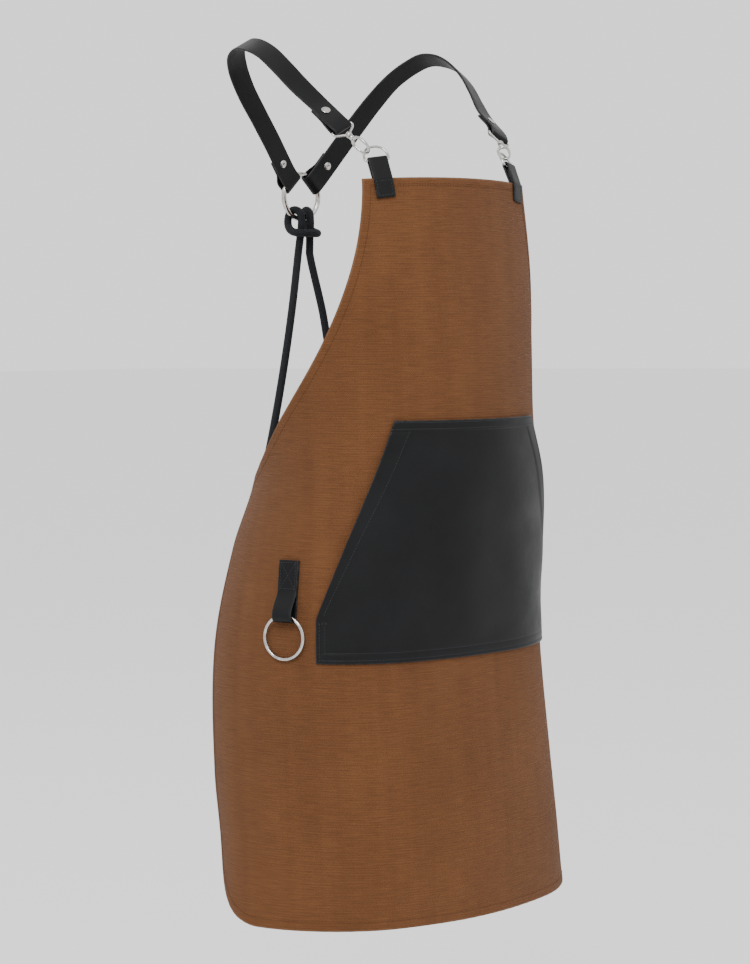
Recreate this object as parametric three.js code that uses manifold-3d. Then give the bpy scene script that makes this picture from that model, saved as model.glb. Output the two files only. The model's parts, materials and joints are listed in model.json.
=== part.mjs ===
// Canvas bib apron with leather shoulder straps, held in the shape that it takes when it is worn
// Millimetres, +Z up. The front faces -Y, and the wearer's right side is -X.
// The origin lies midway between the undersides of the two strap tops.

import * as THREE from "three";
import { mergeVertices } from "three/addons/utils/BufferGeometryUtils.js";
import Module from "manifold-3d";

const wasm = await Module();
wasm.setup();

// Air left between neighbouring pieces: hard pieces, sewn leather, wire in a leather fold, and curved leather
const seatGap = 0.35;
const sewnGap = 0.6;
const wireGap = 0.5;
const curvedGap = 0.95;

// Canvas
const apronWidth = 704;
const apronLength = 792;
const clothThickness = 1.6;
const bibTopWidth = 248;
const bibTopDrop = 150;
const neckCrown = 3.5;
const waistDrop = 326;
const hemCornerRadius = 86;
const frontReach = 244;
const foldHeight = 2.4;

// Leather pocket
const pocketTopDrop = 254;
const pocketHeight = 257;
const pocketTopWidth = 208;
const pocketBottomWidth = 368;
const pocketSideHeight = 46;
const pocketLeather = 1.8;
const pocketSwell = 1.5;
const pocketMouth = 4;

// Leather tabs on the bib
const tabSpacing = 203;
const tabWidth = 21;
const tabLeather = 2;
const tabLap = 21;
const tabRise = 21;
const tabLeanBack = 20;
const tabLeanOut = 5;

// D-rings, trigger hooks and their eyes
const dRingWire = 2.6;
const dRingWidth = 27;
const dRingReach = 17.5;
const dRingPull = 16.8;
const dRingCorner = 2.4;
const hookLength = 28;
const hookWidth = 15;
const hookThickness = 3.6;
const hookHoleWidth = 8.8;
const hookHoleLength = 18;
const hookNose = 2.9;
const hookTurn = -65;
const gateLength = 10.4;
const gateThickness = 2;
const gateWidth = 2.4;
const gatePinRadius = 0.7;
const gatePinRoom = 0.25;
const gateInset = 0.35;
const gateDown = 2.6;
const gateSwell = 0.3;
const headRadius = 2.6;
const headThickness = 1.2;
const collarRadius = 2.9;
const hookNeck = 3;
const hookBevel = 0.7;
const neckRadius = 1.7;
const barrelRadius = 3.4;
const barrelLength = 3.5;
const eyeWire = 2.6;
const eyeDepth = 10;
const eyeSideRoom = 1.55;
const eyeCorner = 2.4;
const chainYaw = 28;
const chainPitch = 40;

// Leather shoulder straps
const strapWidth = 25;
const strapLeather = 2.4;
const shoulderHalf = 140;
const strapFront = 134;
const strapBack = 56;
const strapFall = 141;
const flapLength = 36;
const rivetFromFold = 27;

// Rivets
const rivetCapRadius = 5;
const rivetCapHeight = 1.5;
const rivetShankRadius = 1.6;
const rivetBackRadius = 4.6;
const rivetBackHeight = 1.1;

// Back ring
const backRingWidth = 57;
const backRingWire = 5.8;
const backRingDrop = 158.5;
const backRingBehind = 61;

// Hip loop and ring
const hipLoopAcross = 217;
const hipLoopTop = 404;
const hipLoopLength = 66;
const hipLoopStitched = 31;
const hipLoopWidth = 23;
const hipLoopLeather = 1.8;
const hipLoopBelly = 10.6;
const hipRingWidth = 50;
const hipRingWire = 3.6;
const hipRingLean = 1.2;

// Side patches where the cord ends
const patchWidth = 46;
const patchHeight = 40;
const patchLeather = 1.8;
const patchProud = 1.6;
const patchDrop = 6;

// Cord
const cordWidth = 9.2;

const clothHalf = clothThickness / 2;
const halfWidth = apronWidth / 2;
const bibHalf = bibTopWidth / 2;

// Sections of the worn canvas, from the bib's top to the hem
// down is a share of the length, and reach a share of how far the front stands forward of the shoulders.
// The four angles are the cloth's turn away from the front at quarters of the half width.
// The skews, at half the width and at the edge, are added on the wearer's right and taken off on the left.
const bodyRows = [
  { down: 0, reach: 0.85, quarter: 20, half: 42, threeQuarter: 67, edge: 92, skew: 0, edgeSkew: 0 },
  { down: 0.104, reach: 0.907, quarter: 23, half: 50, threeQuarter: 77, edge: 106, skew: 0.5, edgeSkew: 0 },
  { down: 0.217, reach: 0.947, quarter: 26, half: 56, threeQuarter: 87, edge: 121, skew: 1.5, edgeSkew: 0.5 },
  { down: 0.321, reach: 0.966, quarter: 28, half: 60, threeQuarter: 94, edge: 131, skew: 3.5, edgeSkew: 2 },
  { down: 0.4, reach: 0.974, quarter: 26, half: 62, threeQuarter: 97, edge: 134, skew: 5, edgeSkew: 3 },
  { down: 0.508, reach: 0.948, quarter: 23, half: 56, threeQuarter: 90, edge: 128, skew: 3, edgeSkew: 0 },
  { down: 0.645, reach: 0.904, quarter: 15, half: 50, threeQuarter: 84, edge: 120, skew: 0.5, edgeSkew: -1 },
  { down: 0.811, reach: 0.961, quarter: 17, half: 46, threeQuarter: 78, edge: 116, skew: 2.5, edgeSkew: 1 },
  { down: 0.912, reach: 0.991, quarter: 17, half: 43, threeQuarter: 76, edge: 118, skew: 3, edgeSkew: 4 },
  { down: 1, reach: 1, quarter: 16, half: 36, threeQuarter: 73, edge: 121, skew: 1, edgeSkew: 6 },
];

// Soft folds of the skirt: where they lie across, how wide they are, where they start, and their height
// across and spread are shares of the half width, from is a share of the length.
const skirtFolds = [
  { across: -0.86, spread: 0.1, from: 0.5, height: 0.8 },
  { across: -0.6, spread: 0.12, from: 0.6, height: -0.9 },
  { across: -0.36, spread: 0.12, from: 0.72, height: 0.7 },
  { across: 0.14, spread: 0.14, from: 0.7, height: -0.7 },
  { across: 0.42, spread: 0.11, from: 0.62, height: 0.9 },
  { across: 0.74, spread: 0.12, from: 0.5, height: -0.8 },
];

// Armhole curve from the bib's corner to the waist corner, as two exponents
const armholeRise = 1.6;
const armholeTurn = 0.61;

// Strap from its front fold over the shoulder to the back ring, for the wearer's left
// out is a share of shoulderHalf; depth of strapFront ahead of the shoulder or strapBack behind it;
// fall of strapFall. lean and sweep turn the strap's width down and back, in degrees.
const strapRows = [
  { out: 0.886, depth: -0.851, fall: 0.489, lean: 20, sweep: 3 },
  { out: 0.943, depth: -0.679, fall: 0.34, lean: 26, sweep: 6 },
  { out: 0.986, depth: -0.515, fall: 0.191, lean: 23, sweep: 10 },
  { out: 1, depth: -0.343, fall: 0.071, lean: 25, sweep: 11 },
  { out: 1, depth: -0.172, fall: 0.007, lean: 30, sweep: 10 },
  { out: 0.979, depth: -0.015, fall: -0.007, lean: 29, sweep: 7 },
  { out: 0.936, depth: 0.286, fall: 0.043, lean: 30, sweep: 10 },
  { out: 0.836, depth: 0.554, fall: 0.149, lean: 33, sweep: 12 },
  { out: 0.693, depth: 0.732, fall: 0.319, lean: 39, sweep: 5 },
  { out: 0.529, depth: 0.821, fall: 0.511, lean: 40, sweep: 0 },
  { out: 0.371, depth: 0.893, fall: 0.702, lean: 41, sweep: 0 },
];
const strapEndLean = 45;

// Straight run of the strap in line with its hook, from the front fold
const strapLead = 9;

// Cord's knot, the half on the wearer's right, from the bottom of the back ring's wire
const knotHalf = [
  [-8.2, -5.5, -34],
  [-7.2, -7, -20],
  [-6.6, -8.7, -2],
  [-7.2, -6.3, 7.1],
  [-8.6, 0.2, 10.3],
  [-10.2, 6.4, 8.4],
  [-11.8, 8.9, 1.5],
  [-14, 6.5, -7],
  [-16.3, -1.5, -13.5],
  [-15.4, -10.5, -16],
  [-9.2, -16, -16.5],
  [0, -17.4, -16.5],
];
// How far the legs of the cord stray from a straight line: a little back, and the left one slack
const legSag = [
  { side: "right", sign: -1, share: [0.25, 0.5, 0.75], out: [-5, -7, -5], back: [2, 3, 2], down: [0, 0, 0] },
  { side: "left", sign: 1, share: [0.2, 0.45, 0.72], out: [-22, -44, -38], back: [4, 9, 8],
    down: [16, 50, 52] },
];

const material = (color, roughness, metalness) =>
  new THREE.MeshStandardMaterial({ color, roughness, metalness });
const canvasBrown = () => material(0x7a4e2b, 0.9, 0);
const blackLeather = () => material(0x1d1e20, 0.5, 0);
const blackCord = () => material(0x14161c, 0.85, 0);
const nickel = () => material(0xc9c6c0, 0.22, 1);

const apron = new THREE.Group();
apron.name = "canvas_bib_apron";

// Curve through a table's values, with a smooth slope at each row
function smoothValue(places, values, place) {
  const last = places.length - 1;
  if (place <= places[0]) return values[0];
  if (place >= places[last]) return values[last];
  let i = 0;
  while (place > places[i + 1]) i += 1;
  const slope = (k) => {
    const a = Math.max(0, k - 1);
    const b = Math.min(last, k + 1);
    return (values[b] - values[a]) / (places[b] - places[a]);
  };
  const run = places[i + 1] - places[i];
  const t = (place - places[i]) / run;
  const t2 = t * t;
  const t3 = t2 * t;
  return (
    (2 * t3 - 3 * t2 + 1) * values[i] +
    (t3 - 2 * t2 + t) * run * slope(i) +
    (3 * t2 - 2 * t3) * values[i + 1] +
    (t3 - t2) * run * slope(i + 1)
  );
}

function ease(value) {
  const t = Math.min(1, Math.max(0, value));
  return t * t * (3 - 2 * t);
}

const degrees = THREE.MathUtils.degToRad;

// One level section of the canvas, as points at equal steps out from the centre front
const sectionSteps = 44;
const sections = new Map();

function sectionAt(down) {
  const key = down.toFixed(5);
  if (sections.has(key)) return sections.get(key);
  const places = bodyRows.map((row) => row.down);
  const read = (column) => smoothValue(places, bodyRows.map((row) => row[column]), down);
  const angles = [0, read("quarter"), read("half"), read("threeQuarter"), read("edge")];
  const skews = [0, read("skew"), read("edgeSkew")];
  const front = -frontReach * read("reach");
  const step = halfWidth / sectionSteps;
  const made = {};
  for (const sign of [-1, 1]) {
    const points = [{ x: 0, y: front }];
    let turn = 0;
    for (let i = 1; i <= sectionSteps; i += 1) {
      const share = (i - 0.5) / sectionSteps;
      const bend = smoothValue([0, 0.25, 0.5, 0.75, 1], angles, share);
      turn = degrees(bend - sign * smoothValue([0, 0.5, 1], skews, share));
      const before = points[i - 1];
      points.push({
        x: before.x + sign * Math.cos(turn) * step,
        y: before.y + Math.sin(turn) * step,
      });
    }
    made[sign] = { points, endTurn: turn };
  }
  sections.set(key, made);
  return made;
}

function foldOut(across, down) {
  let out = 0;
  for (const fold of skirtFolds) {
    const off = (across / halfWidth - fold.across) / fold.spread;
    out += fold.height * foldHeight * Math.exp(-off * off) * ease((down - fold.from) / 0.25);
  }
  return out;
}

// Middle surface of the canvas: across is measured along the cloth, positive to the wearer's left
function clothPoint(across, drop) {
  const down = drop / apronLength;
  const sign = across < 0 ? -1 : 1;
  const { points, endTurn } = sectionAt(Math.min(1, Math.max(0, down)))[sign];
  const step = halfWidth / sectionSteps;
  const along = Math.abs(across) / step;
  const i = Math.min(sectionSteps - 1, Math.floor(along));
  const t = along - i;
  let x = points[i].x + (points[i + 1].x - points[i].x) * t;
  let y = points[i].y + (points[i + 1].y - points[i].y) * t;
  if (along > sectionSteps) {
    x = points[sectionSteps].x + sign * Math.cos(endTurn) * (along - sectionSteps) * step;
    y = points[sectionSteps].y + Math.sin(endTurn) * (along - sectionSteps) * step;
  }
  const share = Math.min(1, Math.abs(across) / bibHalf);
  const crown = neckCrown * (1 - share ** 2) * (1 - ease(drop / 120));
  const ahead = new THREE.Vector2(points[i + 1].x - points[i].x, points[i + 1].y - points[i].y);
  ahead.normalize().multiplyScalar(sign);
  const out = foldOut(across, down);
  return new THREE.Vector3(x + ahead.y * out, y - ahead.x * out, crown - bibTopDrop - drop);
}

// Point and directions on the canvas: side runs to the wearer's left, down to the hem, out off the cloth
function clothFrame(across, drop) {
  const reach = 3;
  const point = clothPoint(across, drop);
  const side = clothPoint(across + reach, drop).sub(clothPoint(across - reach, drop)).normalize();
  const fall = clothPoint(across, drop + reach).sub(clothPoint(across, drop - reach)).normalize();
  const out = new THREE.Vector3().crossVectors(fall, side).normalize();
  const down = new THREE.Vector3().crossVectors(side, out).normalize();
  return { point, side, down, out };
}

function offCloth(across, drop, height) {
  const frame = clothFrame(across, drop);
  return frame.point.addScaledVector(frame.out, height);
}

// Closed mesh from points and triangles, turned so that its faces point out
function closedGeometry(points, triangles) {
  let volume = 0;
  const cross = new THREE.Vector3();
  for (const [a, b, c] of triangles) {
    volume += points[a].dot(cross.crossVectors(points[b], points[c]));
  }
  const index = triangles.flatMap(([a, b, c]) => (volume < 0 ? [a, c, b] : [a, b, c]));
  const geometry = new THREE.BufferGeometry();
  geometry.setAttribute(
    "position",
    new THREE.Float32BufferAttribute(points.flatMap((p) => [p.x, p.y, p.z]), 3),
  );
  geometry.setIndex(index);
  geometry.computeVertexNormals();
  return geometry;
}

// Wall between two faces of a grid: place(u, v, face) with u and v from 0 to 1 and face 0 or 1
function wallGeometry(columns, rows, place) {
  const points = [];
  const id = (i, j, face) => (face * (rows + 1) + j) * (columns + 1) + i;
  for (const face of [0, 1]) {
    for (let j = 0; j <= rows; j += 1) {
      for (let i = 0; i <= columns; i += 1) points.push(place(i / columns, j / rows, face));
    }
  }
  const triangles = [];
  const quad = (a, b, c, d) => triangles.push([a, b, c], [a, c, d]);
  for (let j = 0; j < rows; j += 1) {
    for (let i = 0; i < columns; i += 1) {
      const inner = [id(i, j, 0), id(i + 1, j, 0), id(i + 1, j + 1, 0), id(i, j + 1, 0)];
      const outer = [id(i, j, 1), id(i, j + 1, 1), id(i + 1, j + 1, 1), id(i + 1, j, 1)];
      // The diagonals lean the other way in the second half, so that they stay short at both edges
      if (i >= columns / 2) {
        inner.push(inner.shift());
        outer.push(outer.shift());
      }
      quad(...inner);
      quad(...outer);
    }
  }
  for (let i = 0; i < columns; i += 1) {
    quad(id(i, 0, 0), id(i, 0, 1), id(i + 1, 0, 1), id(i + 1, 0, 0));
    quad(id(i, rows, 0), id(i + 1, rows, 0), id(i + 1, rows, 1), id(i, rows, 1));
  }
  for (let j = 0; j < rows; j += 1) {
    quad(id(0, j, 0), id(0, j + 1, 0), id(0, j + 1, 1), id(0, j, 1));
    quad(id(columns, j, 0), id(columns, j, 1), id(columns, j + 1, 1), id(columns, j + 1, 0));
  }
  return closedGeometry(points, triangles);
}

// Section carried along stations, each with a point, a width direction and a face direction
function sweptGeometry(stations, outline, closed) {
  const points = [];
  for (const { point, width, face } of stations) {
    for (const [w, f] of outline) {
      points.push(point.clone().addScaledVector(width, w).addScaledVector(face, f));
    }
  }
  const n = outline.length;
  const count = stations.length;
  const triangles = [];
  for (let j = 0; j < (closed ? count : count - 1); j += 1) {
    const next = (j + 1) % count;
    for (let i = 0; i < n; i += 1) {
      const k = (i + 1) % n;
      triangles.push([j * n + i, j * n + k, next * n + k], [j * n + i, next * n + k, next * n + i]);
    }
  }
  if (!closed) {
    for (let i = 1; i < n - 1; i += 1) {
      triangles.push([0, i + 1, i], [(count - 1) * n, (count - 1) * n + i, (count - 1) * n + i + 1]);
    }
  }
  return closedGeometry(points, triangles);
}

// Flat strip section
function stripOutline(width, thickness) {
  const w = width / 2;
  const t = thickness / 2;
  return [
    [-w, -t],
    [w, -t],
    [w, t],
    [-w, t],
  ];
}

function roundOutline(radius, sides) {
  return Array.from({ length: sides }, (_, i) => {
    const angle = (2 * Math.PI * i) / sides;
    return [radius * Math.cos(angle), radius * Math.sin(angle)];
  });
}

// Wire bent round a flat closed outline in the XY plane
function wireLoop(shape, wire, divisions, sides) {
  const path = shape.getSpacedPoints(divisions).slice(0, divisions);
  const stations = path.map((p, i) => {
    const before = path[(i + divisions - 1) % divisions];
    const after = path[(i + 1) % divisions];
    const ahead = new THREE.Vector2().subVectors(after, before).normalize();
    return {
      point: new THREE.Vector3(p.x, p.y, 0),
      width: new THREE.Vector3(ahead.y, -ahead.x, 0),
      face: new THREE.Vector3(0, 0, 1),
    };
  });
  return sweptGeometry(stations, roundOutline(wire / 2, sides), true);
}

function solidFrom(geometry) {
  const bare = geometry.clone();
  bare.deleteAttribute("normal");
  bare.deleteAttribute("uv");
  const merged = mergeVertices(bare, 1e-4);
  return new wasm.Manifold(
    new wasm.Mesh({
      numProp: 3,
      vertProperties: merged.attributes.position.array,
      triVerts: new Uint32Array(merged.index.array),
    }),
  );
}

// Geometry of a solid's main body, without the slivers that a cut can leave
function geometryFrom(solid) {
  const bodies = solid.decompose();
  bodies.sort((a, b) => b.volume() - a.volume());
  const mesh = bodies[0].getMesh();
  const geometry = new THREE.BufferGeometry();
  geometry.setAttribute("position", new THREE.BufferAttribute(mesh.vertProperties, 3));
  geometry.setIndex(new THREE.BufferAttribute(mesh.triVerts, 1));
  geometry.computeVertexNormals();
  return geometry;
}

function addPiece(name, geometry, finish, frame) {
  const mesh = new THREE.Mesh(geometry, finish);
  mesh.name = name;
  if (frame) {
    mesh.applyMatrix4(frame);
  }
  apron.add(mesh);
  return mesh;
}

// Placement with its axes along three perpendicular directions
function placement(origin, x, y) {
  const z = new THREE.Vector3().crossVectors(x, y).normalize();
  const xAxis = new THREE.Vector3().crossVectors(y, z).normalize();
  return new THREE.Matrix4().makeBasis(xAxis, y.clone().normalize(), z).setPosition(origin);
}

function mirrored(vector, sign) {
  return new THREE.Vector3(sign * vector.x, vector.y, vector.z);
}

// Half width of the canvas at a drop below the bib's top
function clothReach(drop) {
  if (drop < waistDrop) {
    const share = drop / waistDrop;
    return bibHalf + (halfWidth - bibHalf) * (1 - (1 - share ** armholeRise) ** armholeTurn);
  }
  const left = apronLength - drop;
  if (left >= hemCornerRadius) return halfWidth;
  const inside = hemCornerRadius ** 2 - (hemCornerRadius - left) ** 2;
  return halfWidth - hemCornerRadius + Math.sqrt(Math.max(0, inside));
}

// Drops of the canvas grid's rows, closer where the edge turns
function clothDrops() {
  const drops = [];
  const bibRows = 10;
  for (let i = 0; i <= bibRows; i += 1) drops.push(waistDrop * (1 - (1 - i / bibRows) ** 1.7));
  const skirtRows = 10;
  const straight = apronLength - hemCornerRadius;
  for (let i = 1; i <= skirtRows; i += 1) {
    drops.push(waistDrop + ((straight - waistDrop) * i) / skirtRows);
  }
  const cornerRows = 4;
  for (let i = 1; i <= cornerRows; i += 1) {
    drops.push(straight + hemCornerRadius * Math.sin((i / cornerRows) * (Math.PI / 2)));
  }
  return drops;
}

function makeCanvas() {
  const drops = clothDrops();
  const rows = drops.length - 1;
  const columns = 28;
  const geometry = wallGeometry(columns, rows, (u, v, face) => {
    const drop = drops[Math.round(v * rows)];
    const across = (2 * u - 1) * clothReach(drop);
    return offCloth(across, drop, face ? clothHalf : -clothHalf);
  });
  addPiece("apron_panel", geometry, canvasBrown());
}

// Pocket sewn along its top, bottom and short sides, and open along its two slants
function makePocket() {
  const slantHeight = pocketHeight - pocketSideHeight;
  const topHalf = pocketTopWidth / 2;
  const bottomHalf = pocketBottomWidth / 2;
  const seat = clothHalf + curvedGap;
  const rows = 11;
  const slantRows = 9;
  const geometry = wallGeometry(18, rows, (u, v, face) => {
    const row = Math.round(v * rows);
    const below =
      row <= slantRows
        ? (slantHeight * row) / slantRows
        : slantHeight + (pocketSideHeight * (row - slantRows)) / (rows - slantRows);
    const share = below / pocketHeight;
    const half = topHalf + (bottomHalf - topHalf) * Math.min(1, below / slantHeight);
    const side = 2 * u - 1;
    const rim = Math.abs(side) ** 4;
    const swell = pocketSwell * Math.sin(Math.PI * share) * (1 - rim);
    const open = below < slantHeight ? Math.sin((Math.PI * below) / slantHeight) : 0;
    const height = seat + swell + pocketMouth * open * rim + (face ? pocketLeather : 0);
    return offCloth(side * half, pocketTopDrop + below, height);
  });
  addPiece("pocket", geometry, blackLeather());
}

// Frame of a tab where it crosses the bib's top edge: it leans out and follows the cloth
function tabFrame(sign, along) {
  const lean = degrees(sign * tabLeanOut);
  const at = along > 0 ? along : 0;
  const frame = clothFrame((sign * tabSpacing) / 2 - Math.sin(lean) * at, Math.cos(lean) * at);
  frame.side.applyAxisAngle(frame.out, -lean);
  frame.down.applyAxisAngle(frame.out, -lean);
  return frame;
}

// Bar round which a tab folds, above the bib's top edge
function tabBar(sign) {
  const top = tabFrame(sign, 0);
  const up = top.down.clone().negate();
  up.applyAxisAngle(top.side, degrees(-tabLeanBack));
  const bar = top.point.clone().addScaledVector(up, tabRise);
  const out = new THREE.Vector3().crossVectors(top.side, up).normalize();
  return { bar, up, side: top.side, out: out.dot(top.out) < 0 ? out.negate() : out };
}

// Direction from the tab's bar to the strap's front fold
function chainDirection(sign) {
  const pitch = degrees(chainPitch);
  const yaw = degrees(chainYaw);
  return new THREE.Vector3(
    sign * Math.sin(yaw) * Math.cos(pitch),
    Math.cos(yaw) * Math.cos(pitch),
    Math.sin(pitch),
  );
}

// Where the hook's nose starts along the chain: dRingPull from the bar the hook bears on the D-ring's bow
const hookStart = dRingPull - dRingWire / 2 - wireGap - hookNose;
const chainLength = hookStart + hookLength + barrelLength + eyeDepth;

function chainEnd(sign) {
  return tabBar(sign).bar.addScaledVector(chainDirection(sign), chainLength);
}

function makeTab(side, sign) {
  const { bar, up, side: width, out } = tabBar(sign);
  const lift = clothHalf + sewnGap + tabLeather / 2;
  const foldRadius = dRingWire / 2 + wireGap + tabLeather / 2;
  const stations = [];
  const lapRows = 2;
  const lapStation = (share, faceSign) => {
    const frame = tabFrame(sign, tabLap * share);
    stations.push({
      point: frame.point.addScaledVector(frame.out, faceSign * lift),
      width: frame.side,
      face: frame.out.clone().multiplyScalar(faceSign),
    });
  };
  for (let i = 0; i <= lapRows; i += 1) lapStation(1 - i / lapRows, 1);
  const foldSteps = 6;
  for (let i = 0; i <= foldSteps; i += 1) {
    const angle = (Math.PI * i) / foldSteps;
    const face = out.clone().multiplyScalar(Math.cos(angle)).addScaledVector(up, Math.sin(angle));
    stations.push({ point: bar.clone().addScaledVector(face, foldRadius), width, face });
  }
  for (let i = 0; i <= lapRows; i += 1) lapStation(i / lapRows, -1);
  const outline = stripOutline(tabWidth, tabLeather);
  addPiece("bib_tab_" + side, sweptGeometry(stations, outline, false), blackLeather());
}

// D with its straight bar on the X axis and its bow toward +Y
function dShape(width, reach, corner) {
  const half = width / 2;
  const shape = new THREE.Shape();
  shape.moveTo(-half + corner, 0);
  shape.lineTo(half - corner, 0);
  shape.quadraticCurveTo(half, 0, half, corner);
  shape.bezierCurveTo(half, reach * 0.75, half * 0.55, reach, 0, reach);
  shape.bezierCurveTo(-half * 0.55, reach, -half, reach * 0.75, -half, corner);
  shape.quadraticCurveTo(-half, 0, -half + corner, 0);
  return shape;
}

function chainPlacement(sign, along) {
  const { bar, side } = tabBar(sign);
  const ahead = chainDirection(sign);
  return placement(bar.addScaledVector(ahead, along), side, ahead);
}

function makeDRing(side, sign) {
  const { bar, side: barWay } = tabBar(sign);
  const reachWay = chainDirection(sign);
  reachWay.addScaledVector(barWay, -reachWay.dot(barWay)).normalize();
  const shape = dShape(dRingWidth, dRingReach, dRingCorner);
  const frame = placement(bar, barWay, reachWay);
  addPiece("d_ring_" + side, wireLoop(shape, dRingWire, 26, 7), nickel(), frame);
}

// Gate's pivot in the hook's own frame, whose Y runs from the nose to the neck
const gatePivotX = -(hookWidth / 2 + hookHoleWidth / 2) / 2 + gateInset;
const gatePivotY = hookNose + hookHoleLength - gateDown;
const gateKnuckle = gateWidth / 2 + gateSwell;

function cylinderAt(radius, length, sides, x, y, z) {
  const geometry = new THREE.CylinderGeometry(radius, radius, length, sides);
  geometry.rotateX(Math.PI / 2);
  geometry.translate(x, y, z);
  return solidFrom(geometry);
}

function boxBetween(low, high) {
  const geometry = new THREE.BoxGeometry(high[0] - low[0], high[1] - low[1], high[2] - low[2]);
  geometry.translate((low[0] + high[0]) / 2, (low[1] + high[1]) / 2, (low[2] + high[2]) / 2);
  return solidFrom(geometry);
}

function postAlongY(radius, from, to, sides) {
  const geometry = new THREE.CylinderGeometry(radius, radius, to - from, sides);
  geometry.translate(0, (from + to) / 2, 0);
  return solidFrom(geometry);
}

const neckStart = hookLength - hookNeck;
const barrelStart = hookLength;

function hookSolid() {
  const shape = new THREE.Shape();
  shape.absellipse(0, neckStart / 2, hookWidth / 2, neckStart / 2, 0, 2 * Math.PI, false, 0);
  const hole = new THREE.Path();
  const holeHalf = hookHoleWidth / 2;
  const low = hookNose + holeHalf;
  const high = hookNose + hookHoleLength - holeHalf;
  hole.absarc(0, low, holeHalf, Math.PI, 2 * Math.PI, false);
  hole.absarc(0, high, holeHalf, 0, Math.PI, false);
  hole.closePath();
  shape.holes.push(hole);
  const bevel = hookBevel;
  const geometry = new THREE.ExtrudeGeometry(shape, {
    depth: hookThickness - 2 * bevel,
    bevelThickness: bevel,
    bevelSize: bevel,
    bevelOffset: -bevel,
    bevelSegments: 1,
    curveSegments: 6,
    steps: 1,
  });
  geometry.translate(0, 0, -(hookThickness - 2 * bevel) / 2);
  let solid = solidFrom(geometry);
  const barrelEnd = barrelStart + barrelLength;
  solid = solid.add(postAlongY(neckRadius, neckStart - hookNeck / 2, barrelEnd + headThickness, 12));
  solid = solid.add(postAlongY(collarRadius, neckStart - hookNeck / 2, barrelStart - seatGap, 12));
  solid = solid.add(
    postAlongY(headRadius, barrelEnd + seatGap, barrelEnd + seatGap + headThickness, 12),
  );
  const mouthLow = gatePivotY - gateLength - seatGap;
  const wide = hookWidth;
  solid = solid.subtract(boxBetween([-wide, mouthLow, -wide], [-holeHalf + hookBevel, gatePivotY, wide]));
  const slot = gateThickness / 2 + seatGap;
  const room = gateKnuckle + seatGap;
  solid = solid.subtract(
    boxBetween([-wide, gatePivotY - 1, -slot], [-holeHalf / 2, gatePivotY + room, slot]),
  );
  const pinHole = gatePinRadius + gatePinRoom;
  return solid.subtract(cylinderAt(pinHole, 2 * wide, 10, gatePivotX, gatePivotY, 0));
}

// Gate in its own frame, with its pivot at the origin and its tip toward -Y
function gateSolid() {
  const half = gateWidth / 2;
  const shape = new THREE.Shape();
  shape.moveTo(half, 0);
  shape.lineTo(half, -gateLength + 0.6);
  shape.lineTo(half - 0.6, -gateLength);
  shape.lineTo(-half + 0.2, -gateLength);
  shape.lineTo(-half - 0.1, -gateLength * 0.6);
  shape.quadraticCurveTo(-half - 1.5, -gateLength * 0.5, -half - 0.1, -gateLength * 0.36);
  shape.lineTo(-half, 0);
  const bar = new THREE.ExtrudeGeometry(shape, {
    depth: gateThickness,
    bevelEnabled: false,
    curveSegments: 6,
    steps: 1,
  });
  bar.translate(0, 0, -gateThickness / 2);
  const pinLength = hookThickness - 0.8;
  return solidFrom(bar)
    .add(cylinderAt(gateKnuckle, gateThickness, 14, 0, 0, 0))
    .add(cylinderAt(gatePinRadius, pinLength, 10, 0, 0, 0));
}

function hookPlacement(sign) {
  const turn = new THREE.Matrix4().makeRotationY(degrees(hookTurn));
  return chainPlacement(sign, hookStart).multiply(turn);
}

function makeHook(side, sign) {
  const frame = hookPlacement(sign);
  addPiece("hook_body_" + side, geometryFrom(hookSolid()), nickel(), frame);
  const pivot = new THREE.Matrix4().makeTranslation(gatePivotX, gatePivotY, 0);
  const gateFrame = frame.clone().multiply(pivot);
  addPiece("hook_gate_" + side, geometryFrom(gateSolid()), nickel(), gateFrame);
}

// Eye in its own frame, with its bar on the X axis and its barrel toward -Y
function eyeSolid() {
  const half = strapWidth / 2 + eyeSideRoom + eyeWire / 2;
  const narrow = barrelRadius - 0.2;
  const shape = new THREE.Shape();
  shape.moveTo(-half + eyeCorner, 0);
  shape.lineTo(half - eyeCorner, 0);
  shape.quadraticCurveTo(half, 0, half, -eyeCorner);
  shape.bezierCurveTo(half, -eyeDepth * 0.64, half * 0.45, -eyeDepth * 0.74, narrow, -eyeDepth - 0.4);
  shape.lineTo(-narrow, -eyeDepth - 0.4);
  shape.bezierCurveTo(-half * 0.45, -eyeDepth * 0.74, -half, -eyeDepth * 0.64, -half, -eyeCorner);
  shape.quadraticCurveTo(-half, 0, -half + eyeCorner, 0);
  const loop = solidFrom(wireLoop(shape, eyeWire, 30, 6));
  const barrelEnd = -eyeDepth;
  const barrel = postAlongY(barrelRadius, barrelEnd - barrelLength, barrelEnd, 16);
  const bore = postAlongY(neckRadius + seatGap, barrelEnd - 2 * barrelLength, barrelEnd + 4, 12);
  const headRoom = postAlongY(
    headRadius + seatGap,
    barrelEnd,
    barrelEnd + headThickness + 3 * seatGap,
    12,
  );
  return loop.add(barrel).subtract(bore).subtract(headRoom);
}

function rowDirection(row) {
  const lean = degrees(row.lean);
  const sweep = degrees(row.sweep);
  return new THREE.Vector3(
    Math.cos(lean) * Math.cos(sweep),
    Math.sin(sweep),
    -Math.sin(lean) * Math.cos(sweep),
  );
}

function rowPoint(row) {
  return new THREE.Vector3(
    row.out * shoulderHalf,
    row.depth * (row.depth < 0 ? strapFront : strapBack),
    -row.fall * strapFall,
  );
}

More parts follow.
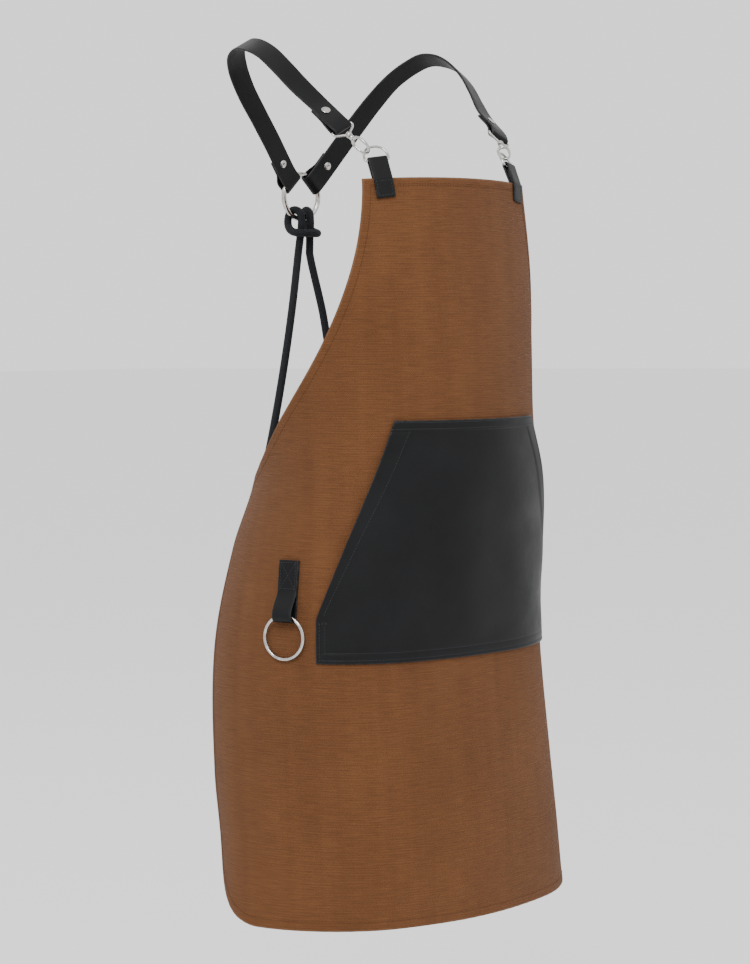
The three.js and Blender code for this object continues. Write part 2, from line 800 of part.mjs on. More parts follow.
// Fold of a strap round the back ring: its axis touches the ring's own line at both strap edges
const ringRadius = (backRingWidth - backRingWire) / 2;
const ringCentre = new THREE.Vector3(0, backRingBehind, -backRingDrop);
const ringChord = Math.sqrt(ringRadius ** 2 - (strapWidth / 2) ** 2);
const ringFoldRadius = backRingWire / 2 + curvedGap + strapLeather / 2;
const ringRadial = new THREE.Vector3(
  Math.sin(degrees(strapEndLean)),
  0,
  Math.cos(degrees(strapEndLean)),
);
const ringFold = ringCentre.clone().addScaledVector(ringRadial, ringChord);
const eyeFoldRadius = eyeWire / 2 + wireGap + strapLeather / 2;

// Strap's main layer for the wearer's left, as a curve with a width direction along it
function strapCourse() {
  const fold = chainEnd(1);
  const ahead = chainDirection(1);
  const first = rowDirection(strapRows[0]);
  first.addScaledVector(ahead, -first.dot(ahead)).normalize();
  const out = new THREE.Vector3().crossVectors(first, ahead).normalize();
  const start = fold.clone().addScaledVector(out, eyeFoldRadius);
  const lead = start.clone().addScaledVector(ahead, strapLead);
  const end = ringFold.clone().add(new THREE.Vector3(0, -ringFoldRadius, 0));
  const wire = end.clone().addScaledVector(ringRadial, ringRadius - ringChord + backRingWire);
  const curve = new THREE.CatmullRomCurve3(
    [start, lead, ...strapRows.map(rowPoint), wire, end],
    false,
    "centripetal",
  );
  const endWidth = rowDirection({ lean: strapEndLean, sweep: 0 });
  const widths = [first, first, ...strapRows.map(rowDirection), endWidth, endWidth];
  return { curve, widths, length: curve.getLength() };
}

const course = strapCourse();

// Station of the main layer at a distance from the front fold
function strapStation(distance) {
  const u = Math.min(1, Math.max(0, distance / course.length));
  const t = course.curve.getUtoTmapping(u);
  const point = course.curve.getPoint(t);
  const ahead = course.curve.getTangent(t);
  const scaled = t * (course.widths.length - 1);
  const i = Math.min(course.widths.length - 2, Math.floor(scaled));
  const width = course.widths[i].clone().lerp(course.widths[i + 1], scaled - i);
  width.addScaledVector(ahead, -width.dot(ahead)).normalize();
  const face = new THREE.Vector3().crossVectors(width, ahead).normalize();
  return { point, width, face, ahead };
}

// Flap under the main layer: wide apart at the fold, closed up where the rivet goes through
function flapSpread(fromFold, foldRadius, flat) {
  const closed = strapLeather + seatGap;
  return closed + (2 * foldRadius - closed) * (1 - ease((fromFold - flat) / (rivetFromFold - flat - 6)));
}

// Stations of one folded end, from the flap's free end to the main layer; turn is -1 for a flap inside
function foldStations(atFront) {
  const radius = atFront ? eyeFoldRadius : ringFoldRadius;
  const flat = atFront ? 1 : ringRadius - ringChord + 2;
  const turn = atFront ? -1 : 1;
  const place = (fromFold) => strapStation(atFront ? fromFold : course.length - fromFold);
  const stations = [];
  const flapSteps = 6;
  for (let i = 0; i < flapSteps; i += 1) {
    const fromFold = flapLength * (1 - i / flapSteps);
    const { point, width, face } = place(fromFold);
    stations.push({
      point: point.clone().addScaledVector(face, turn * flapSpread(fromFold, radius, flat)),
      width,
      face: face.clone().negate(),
    });
  }
  const { point, width, face, ahead } = place(0);
  const past = ahead.clone().multiplyScalar(atFront ? -1 : 1);
  const middle = point.clone().addScaledVector(face, turn * radius);
  const foldSteps = 6;
  for (let i = 0; i < foldSteps; i += 1) {
    const angle = (Math.PI * i) / foldSteps;
    const away = face.clone().multiplyScalar(turn * Math.cos(angle));
    away.addScaledVector(past, Math.sin(angle));
    stations.push({
      point: middle.clone().addScaledVector(away, radius),
      width,
      face: away.clone().multiplyScalar(-turn),
    });
  }
  return stations;
}

function strapStations() {
  const stations = foldStations(true);
  const steps = 26;
  for (let i = 0; i <= steps; i += 1) {
    stations.push(strapStation((course.length * i) / steps));
  }
  return stations.concat(foldStations(false).reverse());
}

function rivetPlaces() {
  const front = strapStation(rivetFromFold);
  const back = strapStation(course.length - rivetFromFold);
  const layer = strapLeather + seatGap;
  return [
    { end: "front", ...front, low: -layer, high: 0 },
    { end: "back", ...back, low: 0, high: layer },
  ];
}

// Rivet about +Z: domed cap, shank, and a pressed tubular back with a hollow middle
function rivetGeometry(low, high) {
  const top = high + strapLeather / 2 + seatGap;
  const bottom = low - strapLeather / 2 - seatGap;
  const hollow = rivetShankRadius * 0.55;
  const profile = [
    [0, top + rivetCapHeight],
    [rivetCapRadius * 0.55, top + rivetCapHeight * 0.86],
    [rivetCapRadius * 0.88, top + rivetCapHeight * 0.5],
    [rivetCapRadius, top],
    [rivetShankRadius, top],
    [rivetShankRadius, bottom],
    [rivetBackRadius, bottom],
    [rivetBackRadius * 0.9, bottom - rivetBackHeight * 0.7],
    [hollow * 1.5, bottom - rivetBackHeight],
    [hollow, bottom - rivetBackHeight * 0.6],
    [hollow, bottom + 0.9],
    [0, bottom + 0.9],
  ];
  const points = profile.map(([r, z]) => new THREE.Vector2(r, z));
  const geometry = new THREE.LatheGeometry(points.reverse(), 12);
  geometry.rotateX(Math.PI / 2);
  return geometryFrom(solidFrom(geometry));
}

function makeStrap(side, sign) {
  const stations = strapStations().map(({ point, width, face }) => ({
    point: mirrored(point, sign),
    width: mirrored(width, sign),
    face: mirrored(face, sign),
  }));
  let solid = solidFrom(sweptGeometry(stations, stripOutline(strapWidth, strapLeather), false));
  for (const place of rivetPlaces()) {
    const axis = mirrored(place.face, sign);
    const width = mirrored(place.width, sign).multiplyScalar(sign);
    const ahead = new THREE.Vector3().crossVectors(axis, width).normalize();
    const frame = placement(mirrored(place.point, sign), width, ahead);
    const hole = new THREE.CylinderGeometry(
      rivetShankRadius + seatGap,
      rivetShankRadius + seatGap,
      4 * (strapLeather + seatGap),
      12,
    );
    hole.rotateX(Math.PI / 2);
    hole.translate(0, 0, (place.low + place.high) / 2);
    hole.applyMatrix4(frame);
    solid = solid.subtract(solidFrom(hole));
    const name = "rivet_" + side + "_" + place.end;
    addPiece(name, rivetGeometry(place.low, place.high), nickel(), frame);
  }
  addPiece("strap_" + side, geometryFrom(solid), blackLeather());
}

function makeEye(side, sign) {
  const start = strapStation(0);
  const width = mirrored(start.width, sign).multiplyScalar(sign);
  const frame = placement(chainEnd(sign), width, chainDirection(sign));
  addPiece("hook_eye_" + side, geometryFrom(eyeSolid()), nickel(), frame);
}

function makeBackRing() {
  const geometry = new THREE.TorusGeometry(ringRadius, backRingWire / 2, 10, 28);
  const frame = new THREE.Matrix4().makeRotationX(Math.PI / 2).setPosition(ringCentre);
  addPiece("back_ring", geometryFrom(solidFrom(geometry)), nickel(), frame);
}

// Folded hip loop: a back layer on the cloth, a fold low down that holds the ring, and a front layer
function hipLoopFrame() {
  return clothFrame(-hipLoopAcross, hipLoopTop + hipLoopLength * 0.75);
}

const hipFoldRadius = hipLoopBelly / 2 + hipLoopLeather / 2;

function makeHipLoop() {
  const back = clothHalf + sewnGap + hipLoopLeather / 2;
  const front = back + hipLoopLeather + seatGap;
  const foldDrop = hipLoopTop + hipLoopLength - hipFoldRadius - hipLoopLeather / 2;
  const middle = back + hipFoldRadius;
  const width = hipLoopFrame().side;
  const stations = [];
  const station = (drop, height, faceSign) => {
    const frame = clothFrame(-hipLoopAcross, drop);
    stations.push({
      point: frame.point.clone().addScaledVector(frame.out, height),
      width,
      face: frame.out.clone().multiplyScalar(faceSign),
    });
  };
  const layerSteps = 6;
  for (let i = 0; i <= layerSteps; i += 1) {
    station(hipLoopTop + ((foldDrop - hipLoopTop) * i) / layerSteps, back, -1);
  }
  const foldSteps = 8;
  for (let i = 1; i < foldSteps; i += 1) {
    const angle = (Math.PI * i) / foldSteps;
    const frame = clothFrame(-hipLoopAcross, foldDrop);
    const away = frame.out.clone().multiplyScalar(-Math.cos(angle));
    away.addScaledVector(frame.down, Math.sin(angle));
    const point = frame.point.clone().addScaledVector(frame.out, middle);
    stations.push({ point: point.addScaledVector(away, hipFoldRadius), width, face: away });
  }
  for (let i = 0; i <= layerSteps; i += 1) {
    const drop = foldDrop + ((hipLoopTop - foldDrop) * i) / layerSteps;
    const loose = ease((drop - hipLoopTop - hipLoopStitched) / (foldDrop - hipLoopTop - hipLoopStitched));
    station(drop, front + (back + 2 * hipFoldRadius - front) * loose, 1);
  }
  const outline = stripOutline(hipLoopWidth, hipLoopLeather);
  addPiece("hip_loop", sweptGeometry(stations, outline, false), blackLeather());
}

// Ring hung in the hip loop: its hinge line runs across the loop through the ring's wire
const hipRingRadius = (hipRingWidth - hipRingWire) / 2;

function hipHinge() {
  const foldDrop = hipLoopTop + hipLoopLength - hipFoldRadius - hipLoopLeather / 2;
  const frame = clothFrame(-hipLoopAcross, foldDrop);
  const middle = clothHalf + sewnGap + hipLoopLeather / 2 + hipFoldRadius;
  const low = hipFoldRadius - hipLoopLeather / 2 - hipRingWire / 2 - 2 * seatGap;
  const point = frame.point.clone().addScaledVector(frame.out, middle);
  return { point: point.addScaledVector(frame.down, low), axis: hipLoopFrame().side };
}

function makeHipRing() {
  const { point, axis } = hipHinge();
  const chord = Math.sqrt(hipRingRadius ** 2 - (hipLoopWidth / 2) ** 2);
  const hang = new THREE.Vector3(0, 0, -1);
  hang.addScaledVector(axis, -hang.dot(axis)).normalize();
  hang.applyAxisAngle(axis, degrees(-hipRingLean));
  const centre = point.clone().addScaledVector(hang, chord);
  const geometry = new THREE.TorusGeometry(hipRingRadius, hipRingWire / 2, 8, 28);
  const frame = placement(centre, axis.clone(), hang.clone().negate());
  addPiece("hip_ring", geometryFrom(solidFrom(geometry)), nickel(), frame);
}

// Patch on the inner face of a waist corner, a little proud of the cloth's edge
function makePatch(side, sign) {
  const height = -(clothHalf + curvedGap);
  const geometry = wallGeometry(4, 4, (u, v, face) => {
    const drop = waistDrop + patchDrop - patchHeight * (1 - v);
    const edge = Math.min(clothReach(drop), halfWidth) + patchProud;
    const across = edge - patchWidth * u;
    return offCloth(sign * across, drop, height - (face ? patchLeather : 0));
  });
  addPiece("side_patch_" + side, geometry, blackLeather());
}

// Cord pieces: the knot on the back ring and a leg to each side patch
const knotStart = new THREE.Vector3(0, backRingBehind, -backRingDrop - ringRadius);

function cordTube(points, steps) {
  const outline = roundOutline(cordWidth / 2, 8).map(([x, y]) => new THREE.Vector2(x, y));
  const curve = new THREE.CatmullRomCurve3(points, false, "centripetal");
  const geometry = new THREE.ExtrudeGeometry(new THREE.Shape(outline), {
    steps,
    extrudePath: curve,
    bevelEnabled: false,
  });
  return geometryFrom(solidFrom(geometry));
}

function makeCord() {
  const place = ([x, y, z]) => new THREE.Vector3(x, y, z);
  const half = knotHalf.map((p) => place(p).add(knotStart));
  const other = knotHalf.slice(0, -1).map(([x, y, z]) => place([-x, y, z]).add(knotStart));
  addPiece("cord_knot", cordTube([...half, ...other.reverse()], 40), blackCord());
  const inner = -(clothHalf + curvedGap + patchLeather + curvedGap + cordWidth / 2);
  for (const { side, sign, share, out, back, down } of legSag) {
    const endDrop = waistDrop + patchDrop - patchHeight * 0.35;
    const end = offCloth(sign * (halfWidth - patchWidth * 0.6), endDrop, inner);
    const top = place([sign * Math.abs(knotHalf[0][0]), knotHalf[0][1], knotHalf[0][2]]);
    const next = place([sign * Math.abs(knotHalf[1][0]), knotHalf[1][1], knotHalf[1][2]]);
    top.add(knotStart);
    const lead = top.clone().sub(next.add(knotStart)).normalize();
    top.addScaledVector(lead, seatGap);
    const middle = share.map((part, i) => {
      const stray = new THREE.Vector3(sign * out[i], back[i], -down[i]);
      return top.clone().lerp(end, part).add(stray);
    });
    const second = top.clone().addScaledVector(lead, cordWidth / 2);
    const points = [top, second, ...middle, end];
    addPiece("cord_leg_" + side, cordTube(points, 12), blackCord());
  }
}

makeCanvas();
makePocket();
for (const [side, sign] of [
  ["right", -1],
  ["left", 1],
]) {
  makeTab(side, sign);
  makeDRing(side, sign);
  makeHook(side, sign);
  makeEye(side, sign);
  makeStrap(side, sign);
  makePatch(side, sign);
}
makeBackRing();
makeHipLoop();
makeHipRing();
makeCord();

export default apron;
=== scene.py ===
import json
import math

import bmesh
import bpy
import numpy as np
from mathutils import Matrix, Vector

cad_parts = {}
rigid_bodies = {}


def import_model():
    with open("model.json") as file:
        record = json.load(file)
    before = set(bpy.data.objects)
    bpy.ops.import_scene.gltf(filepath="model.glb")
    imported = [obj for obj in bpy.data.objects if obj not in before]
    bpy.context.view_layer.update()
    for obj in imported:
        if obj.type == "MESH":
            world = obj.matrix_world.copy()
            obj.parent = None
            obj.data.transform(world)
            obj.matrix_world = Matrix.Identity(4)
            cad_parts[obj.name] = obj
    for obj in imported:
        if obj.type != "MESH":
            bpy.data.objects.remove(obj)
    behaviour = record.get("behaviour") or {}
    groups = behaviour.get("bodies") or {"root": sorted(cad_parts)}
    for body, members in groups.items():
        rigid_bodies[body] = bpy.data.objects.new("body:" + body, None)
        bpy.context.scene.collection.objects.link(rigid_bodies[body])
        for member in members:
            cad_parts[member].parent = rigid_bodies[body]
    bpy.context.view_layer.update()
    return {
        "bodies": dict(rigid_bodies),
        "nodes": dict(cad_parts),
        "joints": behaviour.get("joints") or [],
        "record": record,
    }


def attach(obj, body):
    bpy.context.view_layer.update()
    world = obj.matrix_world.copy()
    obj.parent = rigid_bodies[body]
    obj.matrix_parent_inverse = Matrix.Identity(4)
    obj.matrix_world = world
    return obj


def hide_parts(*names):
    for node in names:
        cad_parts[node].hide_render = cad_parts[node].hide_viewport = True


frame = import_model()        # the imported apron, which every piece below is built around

# Metres, +Z up. The front faces -Y and the wearer's right is -X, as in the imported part.

# Camera at the photograph's angle
cameraView = {
    "imageWidth": 750,
    "imageHeight": 964,
    "turn": 42,              # degrees towards the wearer's right
    "distance": 2.9,
    "focalPixels": 2546,
    "levelRow": 300,         # picture row at the camera's own height
    "middleColumn": 336,     # picture column of the part's origin
    "height": -0.277,
    "sensor": 36,
}


def makeCamera():
    v = cameraView
    turn = math.radians(v["turn"])
    pitch = math.atan((v["imageHeight"] / 2 - v["levelRow"]) / v["focalPixels"])
    back = Vector((-math.sin(turn), -math.cos(turn), 0))
    right = Vector((math.cos(turn), -math.sin(turn), 0))
    offset = (v["imageWidth"] / 2 - v["middleColumn"]) * v["distance"] / v["focalPixels"]
    forward = -back * math.cos(pitch) - Vector((0, 0, math.sin(pitch)))
    up = right.cross(forward)
    place = back * v["distance"] + right * offset * math.cos(pitch) + Vector((0, 0, v["height"]))
    data = bpy.data.cameras.new("camera")
    data.sensor_width = v["sensor"]
    data.lens = v["focalPixels"] * v["sensor"] / v["imageHeight"]
    data.clip_end = 40
    camera = bpy.data.objects.new("camera", data)
    basis = Matrix((right, up, -forward)).transposed().to_4x4()
    camera.matrix_world = Matrix.Translation(place) @ basis
    bpy.context.scene.collection.objects.link(camera)
    bpy.context.scene.camera = camera


makeCamera()
print("camera placed")


# Numbers and directions, which take single values or whole arrays
def unit(v):
    v = np.asarray(v, float)
    return v / np.linalg.norm(v, axis=-1, keepdims=True)


def ease(value):
    t = np.clip(value, 0, 1)
    return t * t * (3 - 2 * t)


def smoothValue(places, values, place):
    places = np.asarray(places, float)
    values = np.asarray(values, float)
    last = len(places) - 1
    at = np.clip(place, places[0], places[last])
    i = np.clip(np.searchsorted(places, at, side="right") - 1, 0, last - 1)
    before = np.maximum(np.arange(last + 1) - 1, 0)
    after = np.minimum(np.arange(last + 1) + 1, last)
    slope = (values[..., after] - values[..., before]) / (places[after] - places[before])
    run = places[i + 1] - places[i]
    t = (at - places[i]) / run
    return (
        (2 * t**3 - 3 * t**2 + 1) * values[..., i]
        + (t**3 - 2 * t**2 + t) * run * slope[..., i]
        + (3 * t**2 - 2 * t**3) * values[..., i + 1]
        + (t**3 - t**2) * run * slope[..., i + 1]
    )


def turned(v, axis, degrees):
    return np.array(Matrix.Rotation(math.radians(degrees), 3, Vector(axis)) @ Vector(v))


# Air between neighbouring pieces
gaps = {"seat": 0.00035, "sewn": 0.0006, "wire": 0.0005, "curved": 0.00095}

# Canvas as it is worn
canvas = {
    "width": 0.704,
    "length": 0.792,
    "thickness": 0.0016,
    "bibTopWidth": 0.248,
    "bibTopDrop": 0.15,
    "neckCrown": 0.0035,
    "crownFade": 0.12,
    "waistDrop": 0.326,
    "hemCornerRadius": 0.086,
    "frontReach": 0.244,
    "foldHeight": 0.0024,
    "armholeRise": 1.6,
    "armholeTurn": 0.61,
    "hem": 0.0105,           # width of the turned hem
    "hemLift": 0.0003,       # how much thicker the hem is on each face
    "stitchIn": 0.009,       # stitching's distance from the edge
    "stitchSink": 0.0003,
}
clothHalf = canvas["thickness"] / 2
halfWidth = canvas["width"] / 2
bibHalf = canvas["bibTopWidth"] / 2

bodyColumns = ("down", "reach", "quarter", "half", "threeQuarter", "edge", "skew", "edgeSkew")
bodyRows = [
    (0, 0.85, 20, 42, 67, 92, 0, 0),
    (0.104, 0.907, 23, 50, 77, 106, 0.5, 0),
    (0.217, 0.947, 26, 56, 87, 121, 1.5, 0.5),
    (0.321, 0.966, 28, 60, 94, 131, 3.5, 2),
    (0.4, 0.974, 26, 62, 97, 134, 5, 3),
    (0.508, 0.948, 23, 56, 90, 128, 3, 0),
    (0.645, 0.904, 15, 50, 84, 120, 0.5, -1),
    (0.811, 0.961, 17, 46, 78, 116, 2.5, 1),
    (0.912, 0.991, 17, 43, 76, 118, 3, 4),
    (1, 1, 16, 36, 73, 121, 1, 6),
]
skirtFolds = [  # across, spread, from, height
    (-0.86, 0.1, 0.5, 0.8),
    (-0.6, 0.12, 0.6, -0.9),
    (-0.36, 0.12, 0.72, 0.7),
    (0.14, 0.14, 0.7, -0.7),
    (0.42, 0.11, 0.62, 0.9),
    (0.74, 0.12, 0.5, -0.8),
]
softWaves = [  # wavelength across, wavelength down, phase, height
    (0.19, 0.85, 0.8, 0.00032),
    (0.083, -0.5, 2.1, 0.00016),
    (0.31, -0.27, 4.0, 0.00028),
]
creases = [  # across, drop, turn in degrees, half length, half width, depth
    (-0.262, 0.575, 58, 0.05, 0.0055, 0.0008),
    (-0.285, 0.53, 66, 0.04, 0.0055, -0.0006),
    (-0.2, 0.62, 50, 0.045, 0.007, -0.0006),
    (-0.25, 0.22, 70, 0.05, 0.006, 0.0005),
    (0.262, 0.575, -58, 0.05, 0.0055, 0.0007),
    (0.24, 0.26, -66, 0.05, 0.007, -0.0006),
]


def sectionTable():
    drops = np.linspace(0, canvas["length"], 397)
    table = np.array(bodyRows, float)
    read = {name: smoothValue(table[:, 0], table[:, i], drops / canvas["length"])
            for i, name in enumerate(bodyColumns)}
    flat = 0 * drops
    angles = np.stack([flat] + [read[name] for name in bodyColumns[2:6]], axis=1)
    skews = np.stack([flat, read["skew"], read["edgeSkew"]], axis=1)
    steps = 176
    share = (np.arange(steps) + 0.5) / steps
    bend = smoothValue([0, 0.25, 0.5, 0.75, 1], angles, share)
    skew = smoothValue([0, 0.5, 1], skews, share)
    front = -canvas["frontReach"] * read["reach"][:, None]
    sides = {}
    for sign in (-1, 1):
        turn = np.radians(bend - sign * skew)
        x = sign * np.cumsum(np.cos(turn), axis=1) * halfWidth / steps
        y = front + np.cumsum(np.sin(turn), axis=1) * halfWidth / steps
        sides[sign] = np.stack([x, y], axis=2)
    middle = np.stack([0 * front, front], axis=2)
    return np.concatenate([sides[-1][:, ::-1], middle, sides[1]], axis=1)


sections = sectionTable()


def foldOut(across, drop):
    out = 0 * across * drop
    for place, spread, start, height in skirtFolds:
        off = (across / halfWidth - place) / spread
        rise = ease((drop / canvas["length"] - start) / 0.25)
        out = out + height * canvas["foldHeight"] * np.exp(-off * off) * rise
    calm = np.exp(-(((across + 0.217) / 0.05) ** 2) - ((drop - 0.49) / 0.11) ** 2)
    waves = 0
    for acrossLength, downLength, phase, height in softWaves:
        angle = 2 * math.pi * (across / acrossLength + drop / downLength) + phase
        waves = waves + height * np.sin(angle) * ease((drop - 0.02) / 0.2)
    for place, fall, turn, halfLength, wide, depth in creases:
        c, s = math.cos(math.radians(turn)), math.sin(math.radians(turn))
        along = (across - place) * c + (drop - fall) * s
        aside = (drop - fall) * c - (across - place) * s
        waves = waves + depth * np.exp(-((along / halfLength) ** 2) - (aside / wide) ** 2)
    return out + waves * (1 - calm)


# Middle surface of the canvas: across runs along the cloth to the wearer's left, drop runs down from the bib's top
def clothPoint(across, drop):
    across, drop = np.broadcast_arrays(np.asarray(across, float), np.asarray(drop, float))
    rows, columns = sections.shape[:2]
    u = (across / halfWidth + 1) / 2 * (columns - 1)
    v = np.clip(drop / canvas["length"], 0, 1) * (rows - 1)
    i = np.clip(np.floor(u).astype(int), 0, columns - 2)
    j = np.clip(np.floor(v).astype(int), 0, rows - 2)
    a, b = (u - i)[..., None], (v - j)[..., None]
    upper = sections[j, i] * (1 - a) + sections[j, i + 1] * a
    lower = sections[j + 1, i] * (1 - a) + sections[j + 1, i + 1] * a
    flat = upper * (1 - b) + lower * b
    ahead = unit(sections[j, i + 1] - sections[j, i])
    share = np.minimum(1, np.abs(across) / bibHalf)
    crown = canvas["neckCrown"] * (1 - share**2) * (1 - ease(drop / canvas["crownFade"]))
    out = foldOut(across, drop)
    x = flat[..., 0] + ahead[..., 1] * out
    y = flat[..., 1] - ahead[..., 0] * out
    return np.stack([x, y, crown - canvas["bibTopDrop"] - drop], axis=-1)


def clothFrame(across, drop):
    reach = 0.003
    side = unit(clothPoint(across + reach, drop) - clothPoint(across - reach, drop))
    fall = unit(clothPoint(across, drop + reach) - clothPoint(across, drop - reach))
    out = unit(np.cross(fall, side))
    return {"point": clothPoint(across, drop), "side": side, "down": unit(np.cross(side, out)), "out": out}


def offCloth(across, drop, height):
    f = clothFrame(across, drop)
    return f["point"] + f["out"] * np.asarray(height, float)[..., None]


def clothReach(drop):
    drop = np.asarray(drop, float)
    share = np.clip(drop / canvas["waistDrop"], 0, 1)
    armhole = (1 - share ** canvas["armholeRise"]) ** canvas["armholeTurn"]
    upper = bibHalf + (halfWidth - bibHalf) * (1 - armhole)
    radius = canvas["hemCornerRadius"]
    inside = radius - np.clip(canvas["length"] - drop, 0, radius)
    lower = halfWidth - radius + np.sqrt(np.maximum(0, radius**2 - inside**2))
    return np.where(drop < canvas["waistDrop"], upper, lower)


# Smooth curve through points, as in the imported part, with its length
def curveThrough(points, samples=60):
    points = np.asarray(points, float)
    first = 2 * points[0] - points[1]
    last = 2 * points[-1] - points[-2]
    padded = np.vstack([first, points, last])
    w = np.linspace(0, 1, samples, endpoint=False)[:, None]
    pieces = []
    for i in range(len(points) - 1):
        p0, p1, p2, p3 = padded[i : i + 4]
        d0, d1, d2 = (math.sqrt(np.linalg.norm(b - a)) for a, b in ((p0, p1), (p1, p2), (p2, p3)))
        t1 = ((p1 - p0) / d0 - (p2 - p0) / (d0 + d1) + (p2 - p1) / d1) * d1
        t2 = ((p2 - p1) / d1 - (p3 - p1) / (d1 + d2) + (p3 - p2) / d2) * d1
        pieces.append(p1 + t1 * w + (3 * (p2 - p1) - 2 * t1 - t2) * w**2 + (2 * (p1 - p2) + t1 + t2) * w**3)
    line = np.vstack(pieces + [points[-1:]])
    run = np.concatenate([[0], np.cumsum(np.linalg.norm(np.diff(line, axis=0), axis=1))])
    return {"line": line, "run": run, "length": run[-1], "samples": samples}


def curveAt(curve, distance):
    place = np.interp(distance, curve["run"], np.arange(len(curve["run"])))
    i = np.clip(np.floor(place).astype(int), 0, len(curve["run"]) - 2)
    t = (place - i)[..., None]
    point = curve["line"][i] * (1 - t) + curve["line"][i + 1] * t
    back = np.clip(i - 1, 0, None)
    ahead = unit(curve["line"][np.clip(i + 2, None, len(curve["run"]) - 1)] - curve["line"][back])
    return point, ahead, place / curve["samples"]


# Materials: helpers, then the effects that more than one material uses
def addNode(tree, kind, inputs=None, **settings):
    node = tree.nodes.new(kind)
    for key, value in settings.items():
        setattr(node, key, value)
    for key, value in (inputs or {}).items():
        if isinstance(value, bpy.types.NodeSocket):
            tree.links.new(value, node.inputs[key])
        else:
            node.inputs[key].default_value = value
    return node


def math2(tree, operation, a, b=0.0, clamp=False):
    return addNode(tree, "ShaderNodeMath", {0: a, 1: b}, operation=operation, use_clamp=clamp).outputs[0]


def newGroup(name, inputs, outputs):
    group = bpy.data.node_groups.new(name, "ShaderNodeTree")
    for socket, kind, value in inputs:
        made = group.interface.new_socket(socket, in_out="INPUT", socket_type=kind)
        if value is not None:
            made.default_value = value
    for socket in outputs:
        group.interface.new_socket(socket, in_out="OUTPUT", socket_type="NodeSocketFloat")
    return group, group.nodes.new("NodeGroupInput"), group.nodes.new("NodeGroupOutput")


def makeWeave():
    group, given, result = newGroup(
        "duckWeave",
        [("Vector", "NodeSocketVector", None), ("Warp", "NodeSocketFloat", 1100), ("Weft", "NodeSocketFloat", 800),
         ("Slub", "NodeSocketFloat", 0.5)],
        ["Height", "Streak"],
    )
    parts = addNode(group, "ShaderNodeSeparateXYZ", {0: given.outputs["Vector"]})
    u = math2(group, "MULTIPLY", parts.outputs[0], given.outputs["Warp"])
    v = math2(group, "MULTIPLY", parts.outputs[1], given.outputs["Weft"])
    odd = math2(group, "MODULO", math2(group, "FLOOR", u), 2.0)
    shifted = math2(group, "ADD", v, odd)
    rib = math2(group, "SINE", math2(group, "MULTIPLY", shifted, math.pi))
    thread = math2(group, "ABSOLUTE", math2(group, "SINE", math2(group, "MULTIPLY", u, math.pi)))
    cell = math2(group, "ADD", math2(group, "MULTIPLY", rib, 0.35), math2(group, "MULTIPLY", thread, 0.3))
    rows = math2(group, "ABSOLUTE", math2(group, "SINE", math2(group, "MULTIPLY", v, math.pi / 2)))
    stretched = addNode(group, "ShaderNodeCombineXYZ", {
        0: math2(group, "MULTIPLY", parts.outputs[0], 42.0), 1: math2(group, "MULTIPLY", parts.outputs[1], 620.0)})
    streak = addNode(group, "ShaderNodeTexNoise", {"Vector": stretched.outputs[0], "Scale": 1.0, "Detail": 3.0})
    slub = math2(group, "MULTIPLY", streak.outputs[0], given.outputs["Slub"])
    height = math2(group, "ADD", math2(group, "ADD", cell, math2(group, "MULTIPLY", rows, 0.5)), slub)
    group.links.new(height, result.inputs["Height"])
    group.links.new(streak.outputs[0], result.inputs["Streak"])
    return group


def makeGrain():
    group, given, result = newGroup(
        "hideGrain",
        [("Vector", "NodeSocketVector", None), ("Scale", "NodeSocketFloat", 700), ("Wrinkle", "NodeSocketFloat", 0.5)],
        ["Height", "Pore"],
    )
    bend = addNode(group, "ShaderNodeTexNoise", {"Vector": given.outputs["Vector"], "Scale": 90.0, "Detail": 2.0})
    shift = addNode(group, "ShaderNodeVectorMath", {0: bend.outputs[1], 1: (0.004, 0.004, 0.004)}, operation="MULTIPLY")
    moved = addNode(group, "ShaderNodeVectorMath", {0: given.outputs["Vector"], 1: shift.outputs[0]})
    cells = addNode(group, "ShaderNodeTexVoronoi", {"Vector": moved.outputs[0], "Scale": given.outputs["Scale"]},
                    feature="SMOOTH_F1")
    fine = addNode(group, "ShaderNodeTexNoise", {"Vector": moved.outputs[0], "Scale": 1500.0, "Detail": 2.0})
    long = addNode(group, "ShaderNodeTexNoise", {"Vector": moved.outputs[0], "Scale": 160.0, "Detail": 4.0})
    pebble = math2(group, "SUBTRACT", 1.0, cells.outputs["Distance"])
    height = math2(group, "ADD", math2(group, "MULTIPLY", pebble, 0.7), math2(group, "MULTIPLY", fine.outputs[0], 0.25))
    wrinkle = math2(group, "MULTIPLY", long.outputs[0], given.outputs["Wrinkle"])
    group.links.new(math2(group, "ADD", height, wrinkle), result.inputs["Height"])
    group.links.new(cells.outputs["Distance"], result.inputs["Pore"])
    return group


def makePatina():
    group, given, result = newGroup(
        "patina",
        [("Vector", "NodeSocketVector", None), ("Scale", "NodeSocketFloat", 40), ("Low", "NodeSocketFloat", 0),
         ("High", "NodeSocketFloat", 1)],
        ["Value"],
    )
    cloud = addNode(group, "ShaderNodeTexNoise", {
        "Vector": given.outputs["Vector"], "Scale": given.outputs["Scale"], "Detail": 5.0, "Roughness": 0.6})
    spread = addNode(group, "ShaderNodeMapRange", {
        "Value": cloud.outputs[0], "From Min": 0.32, "From Max": 0.68,
        "To Min": given.outputs["Low"], "To Max": given.outputs["High"]})
    group.links.new(spread.outputs[0], result.inputs["Value"])
    return group


weaveGroup = makeWeave()
grainGroup = makeGrain()
patinaGroup = makePatina()


def useGroup(tree, group, **inputs):
    node = addNode(tree, "ShaderNodeGroup", node_tree=group)
    for key, value in inputs.items():
        if isinstance(value, bpy.types.NodeSocket):
            tree.links.new(value, node.inputs[key])
        else:
            node.inputs[key].default_value = value
    return node.outputs


